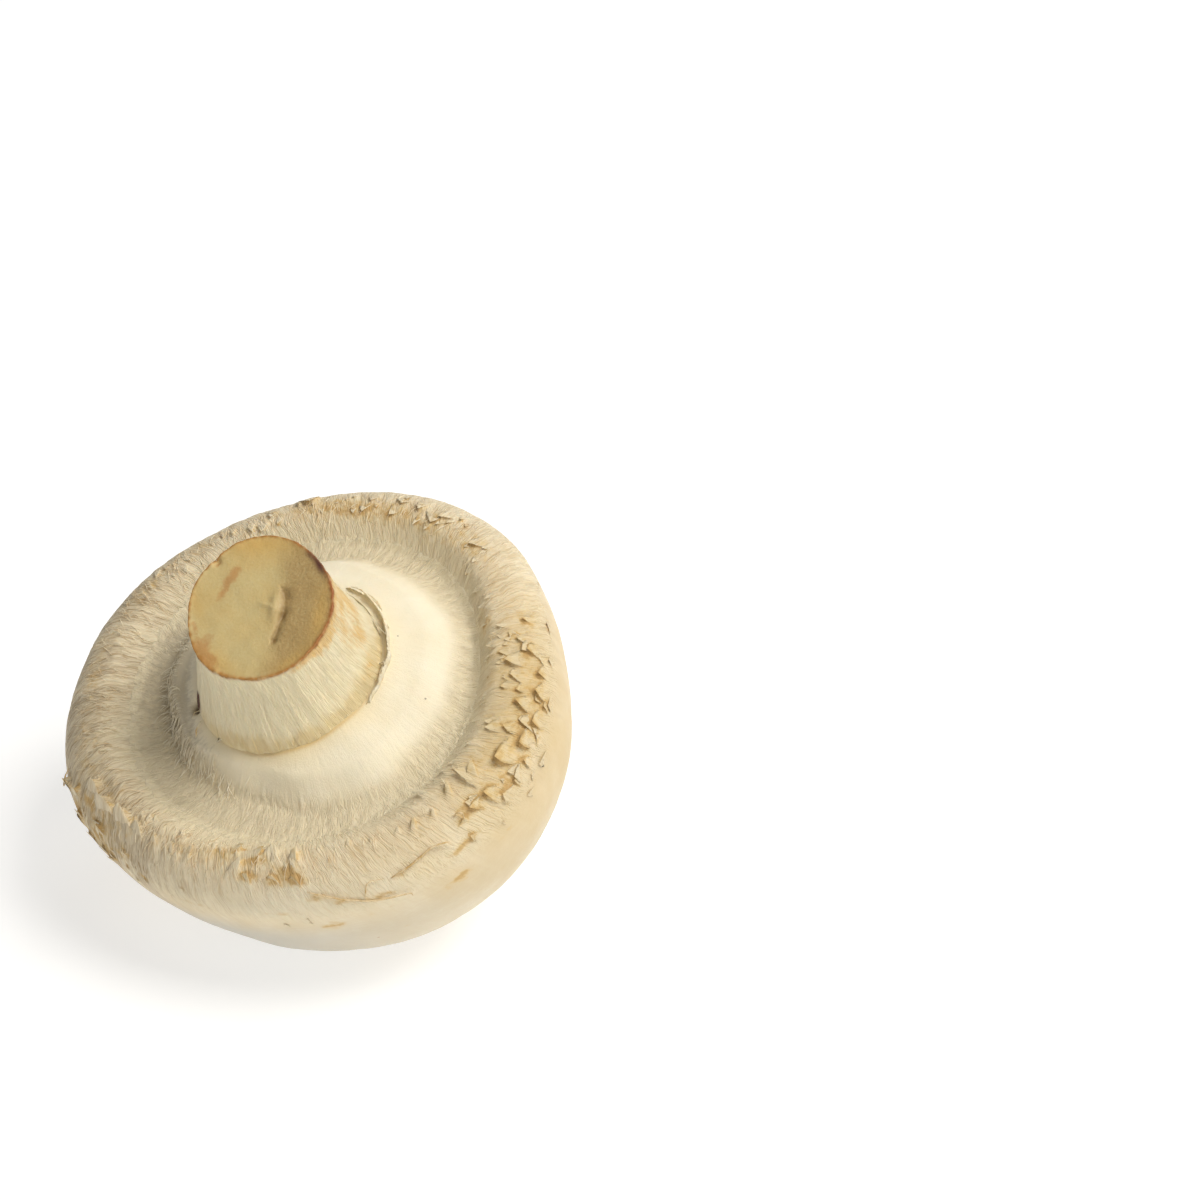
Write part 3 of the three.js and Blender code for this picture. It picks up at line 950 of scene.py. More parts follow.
def grow_scales(name, rows, surface_at, radius_at):
    """One piece made of many scales."""
    bm = bmesh.new()
    flat, owners = [], []
    for number in range(len(rows)):
        made = bmesh.ops.create_grid(bm, x_segments=SCALE_COLUMNS, y_segments=SCALE_ROWS, size=1)
        flat += [vertex.co[:2] for vertex in made["verts"]]
        owners += [number] * len(made["verts"])
    flat = np.array(flat)
    fields = np.array(rows)[np.array(owners)].T
    sideways, along = flat[:, 0], (flat[:, 1] + 1) / 2
    points, edge, azimuth, distance = scale_points(surface_at, radius_at, fields, sideways, along)
    move_vertices(bm, points, {
        "combed": combed_place(azimuth, distance), "tan": edge, "margin": np.ones_like(edge),
        # The same weathering and painted shade on the left; no painted grey on the scales.
        "weathering_and_shade": 0.6 * hump(azimuth, 196, 42), "painted_dome_shade": np.zeros_like(edge),
        **lip_attributes(azimuth, distance),
    })
    bmesh.ops.solidify(bm, geom=bm.faces, thickness=SCALE_THICKNESS)
    return set_down(name, bm)


def radius_on_cap(across):
    """The cap's radius at a distance from the rim."""
    return np.interp(across, OUTLINE_ACROSS, OUTLINE_RADIUS)


cap_scales = grow_scales("cap_scales", scales, cap_surface, radius_on_cap)


def scale_finish():
    """The same skin, dry and thin, and browned along the free edges."""
    material, tree, shader = start_finish("torn_skin", 0.3, 0.1, 0.4)
    colour, threads, grain, _ = skin_colours(tree, times(tree, attribute(tree, "tan"), 0.95))
    roughness = stretch(tree, grain["Grain"], 0.3, 0.5)
    height = stretch(tree, grain["Grain"], 0.6, threads["Strands"])
    finish_shader(tree, shader, colour, roughness, height, 0.05)
    return material


cap_scales.data.materials.append(scale_finish())

# %% [markdown]
# ## The veil
#
# The veil is a soft sheet of threads between the margin and the stem. Round the stem it is thick: a
# smooth cream collar with an uneven, softly stepped edge. Further out it thins and dips into the
# groove, where its ragged outer edge lies on the inside of the lip. It is grown the same way, with the
# distance now simply the radius, and its underside is closed by the last steps of the outline.

# %% Surface of the veil
VEIL_INNER = STEM_BASE_RADIUS - 0.25
VEIL_OUTER = GROOVE_RADIUS + 1.9
VEIL_UNDER = GROOVE_RADIUS - 0.5
VEIL_FLOOR = BED_HEIGHT + 0.3
HOLE_AZIMUTH = 191.5
HOLE_RADIUS = 12.2
HOLE_WIDTH = 0.55


def collar_edge(azimuth):
    """Radius of the collar's edge: wide towards +X, drawn in on the side that the stem leans to."""
    waver = 0.25 * np.sin(5 * azimuth + 1) + 0.15 * np.sin(11 * azimuth)
    return COLLAR_RADIUS * (1 + 0.07 * np.cos(azimuth - 0.2) - 0.1 * hump(azimuth, 238, 30)) + waver


def veil_top(azimuth, radius):
    """Points on the veil's smooth upper side."""
    across = np.interp(radius, OUTLINE_RADIUS[::-1][2:82], OUTLINE_ACROSS[::-1][2:82])
    groove = np.interp(across, OUTLINE_ACROSS, OUTLINE_HEIGHT)
    edge = collar_edge(azimuth)
    softness = 1.2 + 0.8 * hump(azimuth, 265, 60) + 1.3 * hump(azimuth, 5, 55)
    softness -= 0.45 * hump(azimuth, 160, 45)
    on_collar = 1 - fade(radius, edge - softness, edge + softness)
    inward = np.clip((edge - radius) / (COLLAR_RADIUS - STEM_BASE_RADIUS), 0, 1.4)
    collar = COLLAR_HEIGHT + (COLLAR_INNER_HEIGHT - COLLAR_HEIGHT) * inward ** 1.3
    height = groove + (collar - groove) * on_collar
    outward = fade(radius, STEM_BASE_RADIUS, BED_RADIUS)
    factor = 1 + cap_swelling(azimuth) * (radius / RIM_RADIUS) ** 0.8 * outward
    x = radius * factor * np.cos(azimuth) + STEM_SHIFT[0] * (1 - outward)
    y = radius * factor * np.sin(azimuth) + STEM_SHIFT[1] * (1 - outward)
    return np.stack([x, y, height], -1)


def veil_surface(azimuth, radius):
    """The veil's upper side with its slow swellings and its small hole beside the stem."""
    smooth = veil_top(azimuth, radius)
    normal = surface_normals(veil_top, azimuth, radius)
    normal = normal * np.sign(normal[..., 2:3])
    edge = collar_edge(azimuth)
    outside = fade(radius, edge - 0.5, edge + 1.5)
    hair = waver(combed_place(azimuth, radius), smooth, 3, 0.8)
    ragged = radius + 0.5 * rough(hair, (0.8, 0.8, 5.0), 12)
    tuck = 0.10 - 0.32 * fade(ragged, VEIL_OUTER - 0.9, VEIL_OUTER - 0.1)
    felt = 0.07 * rough(hair, (0.8, 0.8, 2.2), 1) + 0.04 * rough(hair, (0.4, 0.4, 1.5), 2)
    collar_swell = 0.12 * rough(smooth, 5, 8) * (1 - outside)
    collar_swell += 0.5 * hump(azimuth, 174, 34) * bell(radius, edge - 0.8, 0.8)
    collar_swell -= 0.4 * hump(azimuth, 184, 34) * bell(radius, 14.0, 1.5)
    fray = bell(radius, edge, 1.7) * (0.3 + 0.7 * hump(azimuth, 205, 75))
    felt = felt + fray * (0.13 * rough(hair, (0.8, 0.8, 1.8), 14) + 0.07 * rough(smooth, 0.5, 15))
    hole = 1.8 * hump(azimuth, HOLE_AZIMUTH, 3.4) * bell(radius, HOLE_RADIUS, HOLE_WIDTH)
    relief = slow_swell(smooth) + collar_swell + tuck * outside + felt * (0.25 + 0.75 * outside) - hole
    return smooth + normal * relief[..., None]


def shape_veil(azimuth, radius):
    """The veil's vertices. A radius counted as negative is on the flat underside."""
    under = radius < 0
    real = np.abs(radius)
    points = veil_surface(azimuth, real)
    points[under] = veil_top(azimuth, real)[under]
    points[under, 2] = VEIL_FLOOR
    edge = collar_edge(azimuth)
    outside = fade(real, edge - 0.5, edge + 1.5)
    shade = 1.2 * hump(azimuth, 178, 38) * bell(real, edge - 0.6, 2.2)
    shade = shade + 0.8 * hump(azimuth, 157, 26) * bell(real, edge + 3.0, 3.4)
    # The hole beside the stem is painted dark: painted shade inside it.
    hole = np.clip(2.5 * hump(azimuth, HOLE_AZIMUTH, 2.4) * bell(real, HOLE_RADIUS, HOLE_WIDTH), 0, 1)
    foot = (1 - fade(real, STEM_BASE_RADIUS, STEM_BASE_RADIUS + 2.5)) * (0.4 + 0.6 * hump(azimuth, 265, 60))
    foot_line = bell(real, STEM_BASE_RADIUS, 0.3) * hump(azimuth, 290, 60)
    attributes = {"combed": combed_place(azimuth, real), "outside": outside, "shade": shade, "hole": hole,
                  "foot": foot, "foot_line": foot_line}
    return points, attributes


def make_veil():
    """The veil's felt, from the stem out to the lip and back along its flat underside."""
    top = np.linspace(VEIL_INNER, VEIL_OUTER, 84)
    ring = np.concatenate([[-VEIL_INNER], top, [-VEIL_UNDER, -VEIL_INNER]])
    return grow_turned("veil_felt", ring, VEIL_STEPS, shape_veil)


veil = make_veil()

# %% [markdown]
# ## The veil's finish
#
# Cream and smooth on the collar, with faint threads that run out from the stem; grey-beige and
# cottony in the groove, where the threads are short and the light is poor.

# %% Felt finish
VEIL_CREAM = (0.91, 0.84, 0.66)
VEIL_DEEP = (0.85, 0.75, 0.53)
STRAW = (0.78, 0.62, 0.34)
SHADE_GREY = (0.46, 0.39, 0.28)
SPECK_AND_HOLE_SHADE = (0.22, 0.17, 0.11)


def felt_finish():
    """Smooth cream felt on the collar, and short cottony threads in the groove."""
    material, tree, shader = start_finish("veil_felt", 0.2, 0.12, 0.9)
    combed = attribute(tree, "combed", vector=True)
    outside = attribute(tree, "outside")
    grain = grain_at(tree, object_place(tree), 0.22)
    threads = threads_at(tree, combed, 0.28, 2.6, 1.4)
    colour = paint(tree, VEIL_CREAM, (
        (VEIL_DEEP, grain["Blotches"], 0.6),
        (FELT_GREY, outside, 0.8),
        (PALE_STRAND, times(tree, threads["Strands"], stretch(tree, outside, 0.35, 0.12)), 1),
        (STRAW, "foot", 0.5),
        (TAN, "foot_line", 0.75),
        (SHADE_GREY, patches(tree, "shade", combed, 0.8), 0.55),
        (SPECK_AND_HOLE_SHADE, specks(tree, object_place(tree), 3.2, 0.3, 0.05), 0.7),
        # Painted shade in the hole beside the stem.
        (SPECK_AND_HOLE_SHADE, "hole", 1),
    ))
    roughness = stretch(tree, grain["Grain"], 0.2, 0.65)
    strands = times(tree, threads["Strands"], stretch(tree, outside, 0.8, 0.2))
    height = stretch(tree, grain["Grain"], 0.8, strands)
    finish_shader(tree, shader, colour, roughness, height, 0.06)
    return material


veil.data.materials.append(felt_finish())

# %% [markdown]
# ## Loose threads
#
# Torn threads stand up where veil and cap parted: short hairs over the collar's edge on the left,
# longer whiskers along the lip, slivers beside the stem, and curled shreds at the front and the left.
# Each is a curve that tapers to both ends. The curves are turned into one mesh per kind.

# %% Threads as tapered curves
HAIR_COUNT = 320
WHISKER_COUNT = 420
COLLAR_MEAN_RADIUS = 17.0
# Hairs and whiskers: azimuth, offset of the root, length, heading, lift, thickness.
HAIR_ROWS = [(draw.gauss(174, 28), draw.uniform(-1.4, 0.7), draw.uniform(1.2, 2.8), draw.gauss(0, 22),
              draw.uniform(0.05, 0.6), draw.uniform(0.03, 0.07)) for _ in range(HAIR_COUNT)]
WHISKER_ROWS = [(draw.gauss(160, 65), draw.uniform(4.5, 9.6), draw.uniform(1.2, 2.8), draw.gauss(0, 14),
                 draw.uniform(0.02, 0.3), draw.uniform(0.02, 0.045)) for _ in range(WHISKER_COUNT)]
# Shreds: points of (azimuth, across, height over the skin), and the thickness.
SHREDS = [
    ([(289.6, 3.1, 0.0), (291.5, 3.3, 0.12), (293.6, 3.4, 0.15), (296.5, 3.6, 0.15), (299.7, 4.0, 0.3),
      (301.8, 3.9, 0.5), (304.0, 3.5, 0.55), (304.6, 2.8, 0.3)], 0.17),
    ([(270.6, 4.1, 0.0), (272.5, 3.7, 0.15), (275, 3.2, 0.2), (278.2, 2.4, 0.2), (281, 1.8, 0.1),
      (283.5, 1.2, 0.1), (287, 0.9, 0.2), (290.5, 0.6, 0.3), (292, 0.5, 0.45), (291.9, -0.2, 0.3)], 0.13),
    ([(282.5, 1.8, 0.05), (283.3, 2.6, 0.25), (284.0, 3.4, 0.35), (285.2, 3.8, 0.35),
      (288.2, 3.4, 0.1)], 0.10),
    ([(308.6, 5.0, 0.0), (309.6, 5.2, 0.4), (310.6, 4.8, 0.6), (310.2, 4.2, 0.4)], 0.12),
    ([(189, 3.4, 0.0), (190, 2.6, 0.4), (192, 2.2, 0.7), (193, 2.8, 0.8)], 0.13),
    ([(209, 5.0, 0.0), (208, 6.2, 0.5), (206, 7.0, 0.8), (204.5, 6.6, 0.8)], 0.12),
    ([(216, 5.6, 0.0), (214.5, 6.8, 0.5), (213, 7.6, 0.8), (211.5, 7.4, 0.9)], 0.12),
]
# Slivers beside the stem, on the veil: the same, with the radius in place of across.
SLIVERS = [
    ([(338, 11.9, 0.0), (350, 12.1, 0.5), (2, 12.2, 0.8), (14, 12.3, 0.9), (26, 12.4, 0.5),
      (34, 12.6, 0.0)], 0.20),
    ([(12, 12.8, 0.0), (20, 12.4, 0.5), (30, 12.2, 0.9), (40, 12.2, 1.0), (50, 12.3, 0.4)], 0.13),
    ([(26, 12.9, 0.0), (34, 13.0, 0.25), (43, 12.8, 0.1)], 0.09),
    ([(322, 12.1, 0.0), (332, 12.2, 0.4), (341, 12.5, 0.1)], 0.13),
    ([(186, 12.0, 0.0), (192, 12.4, 0.5), (197, 13.0, 0.2)], 0.11),
    ([(203, 12.1, 0.0), (206, 12.9, 0.5), (208, 13.8, 0.1)], 0.12),
]


def hair_path(row, start, radius_at):
    """The points of a hair, from its row and the distance that its offset is counted from."""
    turn, offset, length, heading, lift, thickness = row
    path = []
    for share in np.linspace(0, 1, 6):
        ahead = length * share * math.cos(math.radians(heading))
        aside = length * share * math.sin(math.radians(heading + 10 * share))
        root = start + offset
        height = lift * math.sin(math.pi * share * 0.8)
        path.append((turn + math.degrees(aside / radius_at), root + ahead, height))
    return path, thickness


def grow_threads(name, paths, surface_at, side):
    """One mesh of many tapered threads that run over a surface. Side is 1 or -1: which way is outwards."""
    data = bpy.data.curves.new(name, "CURVE")
    data.dimensions = "3D"
    data.bevel_depth = 1.0
    data.bevel_resolution = 0
    data.use_fill_caps = True
    for path, thickness in paths:
        rows = np.array(path)
        shares = np.linspace(0, len(rows) - 1, 2 * len(rows))
        turn, distance, height = (np.interp(shares, np.arange(len(rows)), values) for values in rows.T)
        azimuth = np.radians(turn)
        outwards = side * surface_normals(surface_at, azimuth, distance, 0.1)
        points = surface_at(azimuth, distance) + outwards * (height + thickness * 0.5)[:, None]
        spline = data.splines.new("POLY")
        spline.points.add(len(points) - 1)
        taper = np.sin(np.pi * np.linspace(0.06, 0.97, len(points))) ** 0.6
        for point, place_mm, share in zip(spline.points, points.tolist(), taper.tolist()):
            point.co = (*place_mm, 1)
            point.radius = thickness * share
    strands = bpy.data.objects.new(name + "_curve", data)
    bpy.context.scene.collection.objects.link(strands)
    bpy.context.view_layer.update()
    evaluated = strands.evaluated_get(bpy.context.evaluated_depsgraph_get())
    bm = bmesh.new()
    bm.from_mesh(evaluated.to_mesh())
    evaluated.to_mesh_clear()
    bpy.data.objects.remove(strands)
    bpy.data.curves.remove(data)
    bmesh.ops.remove_doubles(bm, verts=bm.verts, dist=MERGE_DISTANCE)
    return set_down(name, bm)


hair_paths = [hair_path(row, float(collar_edge(math.radians(row[0]))), COLLAR_MEAN_RADIUS) for row in HAIR_ROWS]
whisker_paths = [hair_path(row, 0.0, LIP_RADIUS) for row in WHISKER_ROWS]
veil_hairs = grow_threads("veil_hairs", hair_paths, veil_surface, -1)
cap_whiskers = grow_threads("cap_whiskers", whisker_paths, cap_surface, 1)
cap_shreds = grow_threads("cap_shreds", SHREDS, cap_surface, 1)
stem_slivers = grow_threads("stem_slivers", SLIVERS, veil_surface, -1)


# %% [markdown]
# ## The torn sheath
#
# On the right the collar has torn away from the stem. What is left of it stands up beside the stem as
# a thin wall with a ragged top, a little apart from it, and dried golden along its edge. It is a long
# grid, bent round the stem, and solidify gives it its thickness.


# %% Sheath
SHEATH_FROM = -36
SHEATH_TO = 54
SHEATH_HEIGHT = 1.55
SHEATH_THICKNESS = 0.10
SHEATH_COLUMNS = 150
SHEATH_ROWS = 8


def make_sheath():
    """The torn sheath: a long thin wall with a ragged top that bulges away from the stem."""
    bm = bmesh.new()
    bmesh.ops.create_grid(bm, x_segments=SHEATH_COLUMNS, y_segments=SHEATH_ROWS, size=1)
    flat = np.array([vertex.co[:2] for vertex in bm.verts])
    share, up_wall = (flat[:, 0] + 1) / 2, (flat[:, 1] + 1) / 2
    azimuth = np.radians(SHEATH_FROM + (SHEATH_TO - SHEATH_FROM) * share)
    ragged = np.stack([share * 40, share * 0, share * 0], -1)
    torn_top = 0.75 + 0.45 * rough(ragged, 3.0, 31) + 0.3 * rough(ragged, 0.9, 32)
    tall = SHEATH_HEIGHT * np.sin(math.pi * share) ** 0.5 * torn_top
    bulge = np.sin(math.pi * np.clip(up_wall * 0.8, 0, 1)) * (0.5 + 0.4 * rough(ragged, 5.0, 33))
    radius = STEM_BASE_RADIUS + 0.25 + 0.4 * np.sin(math.pi * share) + 0.8 * bulge
    points = veil_top(azimuth, radius)
    points[:, 2] += tall * up_wall - 0.35 * (1 - up_wall)
    move_vertices(bm, points, {
        "combed": combed_place(azimuth, 3 * up_wall),
        "dried": up_wall ** 3 * (0.6 + 0.6 * rough(ragged, 2.5, 34)),
    })
    bmesh.ops.solidify(bm, geom=bm.faces, thickness=SHEATH_THICKNESS)
    return set_down("torn_sheath", bm)


def sheath_finish():
    """Thin dried felt, straw-coloured towards its torn edge."""
    material, tree, shader = start_finish("torn_sheath", 0.3, 0.0, 0.5)
    combed = attribute(tree, "combed", vector=True)
    grain = grain_at(tree, object_place(tree), 0.25)
    threads = threads_at(tree, combed, 0.3, 2.0, 0.8)
    dried = patches(tree, "dried", combed, 1.2)
    colour = paint(tree, VEIL_CREAM, ((VEIL_DEEP, threads["Bundles"], 1), (STRAW, dried, 0.75)))
    roughness = stretch(tree, grain["Grain"], 0.25, 0.5)
    height = sum_up(tree, "ADD", grain["Grain"], threads["Strands"])
    finish_shader(tree, shader, colour, roughness, height, 0.05)
    return material


sheath = make_sheath()
sheath.data.materials.append(sheath_finish())

# %% [markdown]
# ## The finish of the threads
#
# Loose threads have dried and are so thin that they need no pattern, only two colours. A slow noise
# chooses between a pale one and a deeper one, so that each thread changes along its length.


# %% Thread finish
def thread_finish(name, pale, deep, share_deep):
    """Dry threads: pale, with deeper stretches."""
    material, tree, shader = start_finish(name, 0.3, 0.0, 0.3)
    here = object_place(tree)
    grain = grain_at(tree, here, 0.9)
    limits = {0: grain["Grain"], 1: 0.75 - share_deep, 2: 0.95 - share_deep}
    deep_mask = wire(tree, "ShaderNodeMapRange", limits)
    colour = blend(tree, deep_mask.outputs[0], pale, deep)
    fine = grain_at(tree, here, 0.08)
    roughness = stretch(tree, fine["Grain"], 0.3, 0.45)
    finish_shader(tree, shader, colour, roughness, fine["Grain"], 0.02)
    return material


# Each kind of thread: its name, its pale and its deep colour, and how much of it is deep.
THREAD_KINDS = (
    (veil_hairs, "veil_hair", (0.88, 0.81, 0.64), (0.60, 0.49, 0.32), 0.22),
    (cap_whiskers, "whisker", PALE_STRAND, BEIGE, 0.3),
    (cap_shreds, "shred", (0.76, 0.61, 0.38), (0.56, 0.37, 0.15), 0.3),
    (stem_slivers, "sliver", (0.88, 0.79, 0.58), (0.72, 0.50, 0.22), 0.25),
)
for strands, *thread_kind in THREAD_KINDS:
    strands.data.materials.append(thread_finish(*thread_kind))

# %% [markdown]
# ## The stem and its cut
#
# The stem is a bundle of long threads in a thin skin. It flares where it meets the collar. The knife
# left a sloping face: damp, grainy and darker on one side, with a slit where the core has pulled
# apart, and a thin skin edge that dries brown and curls up round the rim. The side and the face are
# one skin, so the outline runs up the side, over the rim and in to the middle of the face.

# %% Surface of the stem
STEM_FOOT = BED_HEIGHT + 0.6
SIDE_LENGTH = STEM_CUT_HEIGHT - STEM_FOOT


def stem_radius(height):
    """Full at the collar, then a concave taper up to the cut."""
    rise = np.clip((height - COLLAR_INNER_HEIGHT) / (STEM_CUT_HEIGHT - COLLAR_INNER_HEIGHT), 0, 1)
    return STEM_CUT_RADIUS + (STEM_BASE_RADIUS - STEM_CUT_RADIUS) * (1 - rise) ** 1.7


def stem_skin(azimuth, distance):
    """Points on the stem. Distance runs from 0 at the foot up the side, then in over the cut face."""
    on_side = np.minimum(distance, SIDE_LENGTH)
    inward = np.maximum(distance - SIDE_LENGTH, 0)
    height = STEM_FOOT + on_side
    radius = np.maximum(stem_radius(height) - inward, 0)
    uneven = 1 + 0.012 * np.cos(3 * azimuth + 0.7) + 0.008 * np.cos(5 * azimuth)
    uneven -= 0.025 * hump(azimuth, 128, 16)
    rise = fade(height, COLLAR_INNER_HEIGHT, STEM_CUT_HEIGHT)
    x = radius * uneven * np.cos(azimuth)
    y = radius * uneven * np.sin(azimuth)
    z = height + STEM_CUT_SLOPE * y * rise
    return np.stack([x + STEM_SHIFT[0] + STEM_BEND * rise, y + STEM_SHIFT[1], z], -1)


SLIT = [(2.9, 1.3), (3.15, 0.5), (2.9, -0.7), (2.4, -1.9), (1.9, -3.1), (1.3, -4.1)]


def slit_distance(x, y):
    """How far a place on the cut face is from the slit, and on which side of it."""
    nearest = np.full_like(x, 99.0)
    side = np.zeros_like(x)
    for (ax, ay), (bx, by) in zip(SLIT, SLIT[1:]):
        dx, dy = bx - ax, by - ay
        share = np.clip(((x - ax) * dx + (y - ay) * dy) / (dx * dx + dy * dy), 0, 1)
        away = np.hypot(x - ax - share * dx, y - ay - share * dy)
        closer = away < nearest
        nearest = np.where(closer, away, nearest)
        side = np.where(closer, np.sign((x - ax) * dy - (y - ay) * dx), side)
    return nearest, side


# Stains of the cut face, each (x, y, half width, half height, turn, strength) from its middle.
CUT_REDDISH = [
    (-2.9, 4.7, 1.2, 0.7, 45, 1.0), (-4.2, 3.0, 1.3, 0.6, 62, 1.0), (-6.6, -2.8, 1.1, 0.8, 20, 0.8),
    (-4.6, 6.6, 0.6, 0.3, 40, 0.7), (-6.7, -4.8, 2.0, 0.8, -55, 1.3), (-7.9, -1.0, 1.5, 0.4, -80, 0.8),
]
CUT_GOLDEN = [
    (0.4, 8.0, 5.0, 1.5, -8, 0.9), (7.3, -2.4, 1.0, 3.5, -15, 0.7), (3.6, -7.4, 3.0, 0.9, 28, 0.6),
    (-5.0, -6.0, 3.5, 1.0, -45, 0.6), (-7.6, 2.0, 0.8, 3.0, 10, 0.5),
]
CUT_FLAP = [(1.9, -0.2, 0.6, 1.5, -12, 1.0), (0.9, 0.1, 0.9, 0.3, -25, 0.6)]
CUT_BLEMISH = [(7.6, 3.7, 0.45, 1.3, 20, 1.0), (6.6, 5.2, 0.4, 0.8, 40, 0.6)]
# Stains of the stem's side, as for spots, with the distance from the foot.
SIDE_ORANGE = [
    (13, 11.6, 10, 2.4, 1.0), (355, 9.6, 8, 1.6, 0.9), (4, 14.8, 14, 1.6, 0.8),
    (328, 15.9, 14, 1.2, 0.9), (345, 13.0, 9, 2.6, 0.6), (335, 16.8, 28, 0.7, 1.0),
    (20, 16.8, 24, 0.7, 1.0), (30, 12.0, 10, 3.4, 0.7), (305, 16.7, 20, 0.7, 0.7),
    (340, 6.8, 10, 1.2, 0.5),
]
# The dark mark where the veil's hole meets the stem: painted shade.
SIDE_HOLE_SHADE = [(195, 5.7, 4.0, 1.0, 3.0)]
SIDE_GOLDEN = [
    (285, 5.2, 60, 1.9, 0.9), (215, 5.4, 30, 1.6, 0.5), (340, 5.6, 30, 2.0, 0.7),
    (352, 10.0, 26, 5.0, 0.4),
]


def blots(x, y, marks):
    """The sum of soft oval stains on the cut face."""
    total = np.zeros_like(x)
    for middle_x, middle_y, width, height, turn, strength in marks:
        cos, sin = math.cos(math.radians(turn)), math.sin(math.radians(turn))
        along = (x - middle_x) * cos + (y - middle_y) * sin
        aside = (y - middle_y) * cos - (x - middle_x) * sin
        total += strength * np.exp(-((along / width) ** 2) - (aside / height) ** 2)
    return np.clip(total, 0, 1)


def shape_stem(azimuth, distance):
    """The stem's vertices and the attributes that its material reads."""
    smooth = stem_skin(azimuth, distance)
    inward = distance - SIDE_LENGTH
    on_cut = fade(inward, -0.15, 0.15)
    normal = surface_normals(stem_skin, azimuth, distance)
    combed = combed_place(azimuth, distance)
    x = smooth[:, 0] - STEM_SHIFT[0] - STEM_BEND
    y = smooth[:, 1] - STEM_SHIFT[1]
    slit, side = slit_distance(x, y)
    damp = fade(x * 0.85 - y * 0.2 + 0.5 * rough(smooth, 2.0, 23), 0.6, 3.4) * on_cut
    grain = (0.015 + 0.02 * damp) * rough(smooth, 0.3, 1)
    grain += 0.07 * rough(smooth, 1.5, 2) + 0.12 * rough(smooth, 4, 3)
    slit = slit + 0.12 * rough(smooth, 0.8, 21)
    reach = np.where(side < 0, 0.55, 0.20)
    hollow = -0.55 * bell(slit, 0, reach) * (0.8 + 0.6 * rough(smooth, 1.2, 22))
    flap = blots(x, y, CUT_FLAP) * (side > 0)
    notch = 0.5 * blots(x, y, [(-4.9, 7.0, 0.5, 0.7, 30, 1.0)])
    edge = 0.2 * bell(inward, 0, 0.4) * (inward > 0) * (0.6 + 0.8 * rough(combed, 2.2, 4))
    face_relief = (grain + hollow + 0.4 * flap + edge - notch) * on_cut
    threads = 0.035 * ridged(combed, (0.6, 0.6, 8.0), 6) + 0.14 * rough(combed, (3.0, 3.0, 9.0), 7)
    side_relief = threads * (1 - on_cut)
    points = smooth + normal * (face_relief + side_relief)[:, None]
    band = 0.22 + 0.30 * hump(azimuth, 215, 30) + 0.12 * hump(azimuth, 350, 60)
    rim = bell(inward, 0.05, band) * (0.9 + 0.7 * rough(combed, 1.6, 24))
    attributes = {
        "combed": combed, "cut": on_cut, "damp": damp, "rim": rim, "dried": hump(azimuth, 355, 55),
        "slit": bell(slit, 0, 1.3 * reach) * on_cut * (0.7 + 0.5 * rough(smooth, 1.2, 22)),
        "flap": flap * on_cut,
        "reddish": blots(x, y, CUT_REDDISH) * on_cut, "golden": blots(x, y, CUT_GOLDEN) * on_cut,
        # A dark blemish on the cut face, and the painted shade of the veil's hole on the side.
        "blemish_and_hole_shade": (blots(x, y, CUT_BLEMISH) * fade(inward, -1.2, -0.2)
                    + spots(azimuth, distance, SIDE_HOLE_SHADE)),
        "side_orange": spots(azimuth, distance, SIDE_ORANGE),
        "side_golden": spots(azimuth, distance, SIDE_GOLDEN),
    }
    return points, attributes


def make_stem():
    """The stem's skin, with its rows closest together on the rim of the cut."""
    foot = [0.0]
    side = np.linspace(0, SIDE_LENGTH - 0.2, 72)
    rim = SIDE_LENGTH + np.linspace(-0.12, 0.6, 9)
    face = SIDE_LENGTH + 0.6 + (STEM_CUT_RADIUS - 0.6) * np.linspace(0, 1, 64)[1:]
    return grow_turned("stem_flesh", np.concatenate([foot, side, rim, face]), STEM_STEPS, shape_stem)


stem = make_stem()

# %% [markdown]
# ## The stem's finish
#
# The side is cream with long fine threads, golden at the foot, and stained orange on the right where
# it has dried. The face is yellow-beige flesh, waxy and wet on the right; its skin edge has dried to
# an orange-brown line, and the slit is dark inside, its own brown and painted shade in its hollow,
# with a pale flap beside it. Where the veil's hole meets the stem, a dark mark is painted shade.

# %% Stem and cut finish
STEM_CREAM = (0.97, 0.86, 0.59)
STEM_GOLD = (0.76, 0.57, 0.24)
STEM_ORANGE = (0.82, 0.51, 0.14)
CUT_BEIGE = (0.58, 0.45, 0.19)
CUT_PALE = (0.68, 0.57, 0.30)
CUT_DAMP = (0.40, 0.26, 0.10)
CUT_GOLD = (0.64, 0.40, 0.11)
CUT_RED = (0.50, 0.22, 0.06)
RIM_GOLD = (0.42, 0.20, 0.045)
RIM_BROWN = (0.34, 0.11, 0.025)
SLIT_BROWN_AND_SHADE = (0.26, 0.16, 0.06)
BLEMISH_AND_HOLE_SHADE = (0.12, 0.045, 0.03)


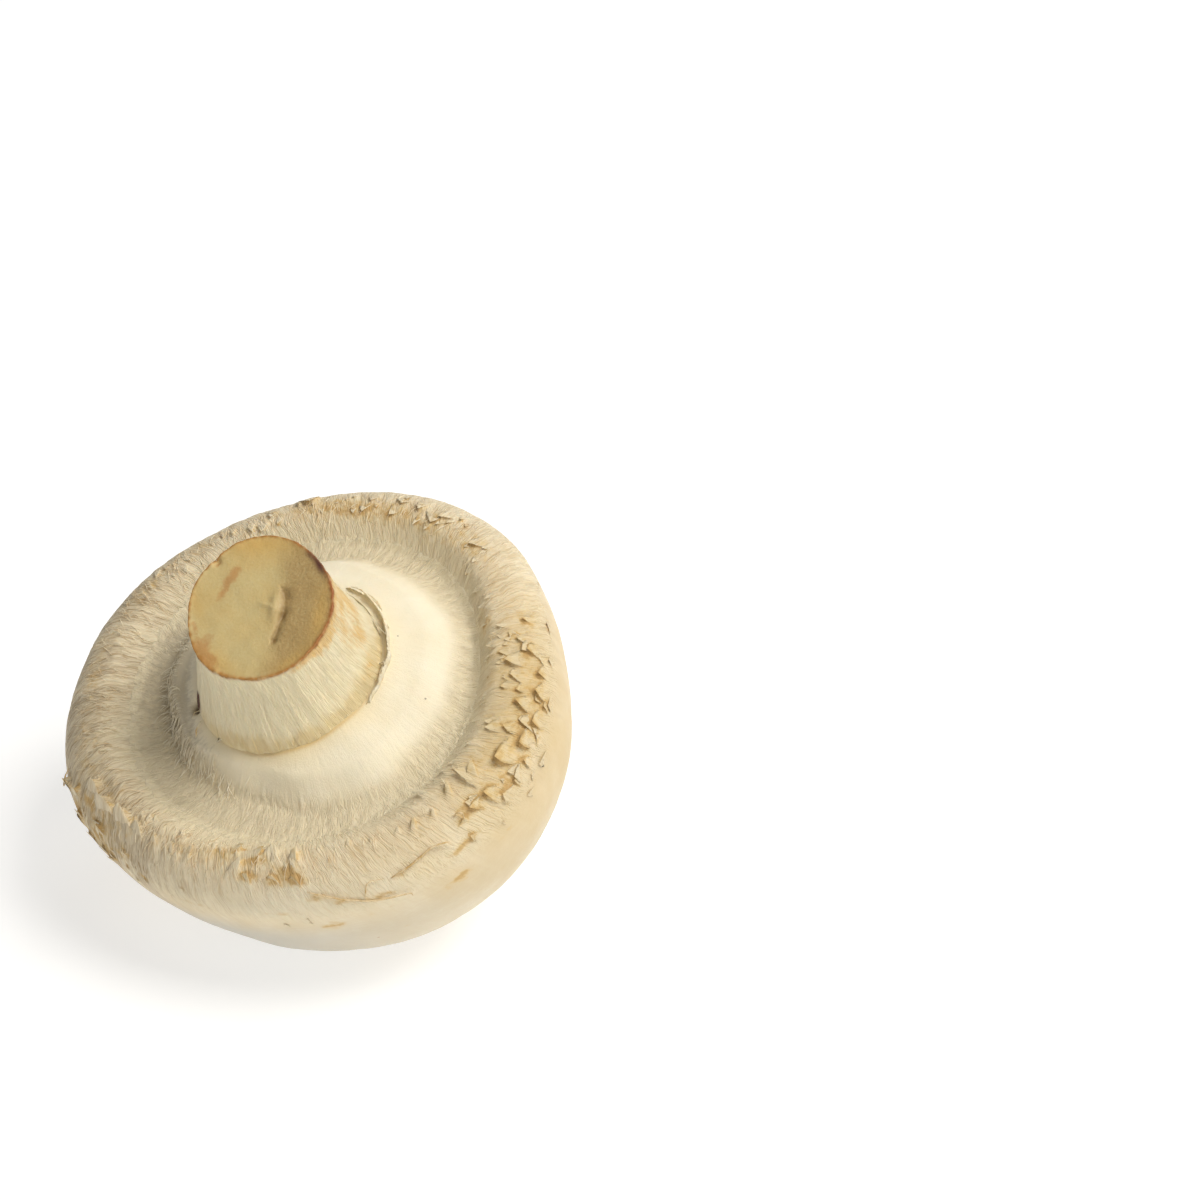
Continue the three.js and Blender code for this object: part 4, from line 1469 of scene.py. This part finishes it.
def stem_finish():
    """Threads on the side, moist grainy flesh on the cut, and a dried line between the two."""
    material, tree, shader = start_finish("stem_flesh", 0.45, 0.15, 1.2)
    combed = attribute(tree, "combed", vector=True)
    here = object_place(tree)
    cut = attribute(tree, "cut")
    grain = grain_at(tree, here, 0.28)
    threads = threads_at(tree, combed, 0.4, 11.0, 0.8)
    wet = times(tree, attribute(tree, "damp"), stretch(tree, grain["Grain"], 1.1, 0.35), clamp=True)
    side = paint(tree, STEM_CREAM, (
        (STEM_GOLD, threads["Bundles"], 0.16),
        (STEM_GOLD, patches(tree, "side_golden", combed, 2.5), 0.7),
        (STEM_ORANGE, patches(tree, "side_orange", combed, 1.3), 0.85),
        (PALE_STRAND, threads["Strands"], 0.3),
    ))
    face = paint(tree, CUT_PALE, (
        (CUT_BEIGE, grain["Grain"], 1),
        (CUT_PALE, specks(tree, here, 0.5, 0.5, 0.35), 0.35),
        (CUT_GOLD, grain["Blotches"], 0.35),
        (CUT_DAMP, wet, 0.85),
        (CUT_GOLD, "golden", 0.8),
        (CUT_RED, patches(tree, "reddish", here, 0.9), 0.62),
        (CUT_PALE, "flap", 0.35),
        # The slit: the flesh's own brown, and painted shade in its hollow.
        (SLIT_BROWN_AND_SHADE, "slit", 1),
    ))
    rim = times(tree, attribute(tree, "rim"), 1.1, clamp=True)
    rim_colour = blend(tree, attribute(tree, "dried"), RIM_GOLD, RIM_BROWN)
    colour = paint(tree, side, ((face, cut, 1), (rim_colour, rim, 0.95), (BLEMISH_AND_HOLE_SHADE, "blemish_and_hole_shade", 1)))
    matt = stretch(tree, grain["Grain"], 0.25, 0.5)
    roughness = stretch(tree, wet, -0.28, matt)
    crumbs = stretch(tree, wet, 0.5, 0.6)
    face_height = times(tree, times(tree, grain["Grain"], crumbs), cut)
    side_height = times(tree, threads["Strands"], sum_up(tree, "SUBTRACT", 1.0, cut))
    finish_shader(tree, shader, colour, roughness, sum_up(tree, "ADD", face_height, side_height), 0.08)
    return material


stem.data.materials.append(stem_finish())

# %% [markdown]
# ## Handing over
#
# Each piece rides on the model's one body. The cap's skin, the veil's felt and the stem stand for
# their imported nodes; the scales go with the cap.

# %% Ride and replace
PIECES = (
    (cap, "cap", "cap_skin"), (cap_scales, "cap", "cap_skin"), (cap_whiskers, "cap", "cap_skin"),
    (cap_shreds, "cap", "cap_skin"), (veil, "veil", "veil_fibre"), (veil_hairs, "veil", "veil_fibre"),
    (stem_slivers, "veil", "veil_fibre"), (sheath, "veil", "veil_fibre"), (stem, "stem", "stem_flesh"),
)
for piece, node, finish in PIECES:
    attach(piece, "root")
    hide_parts(node)
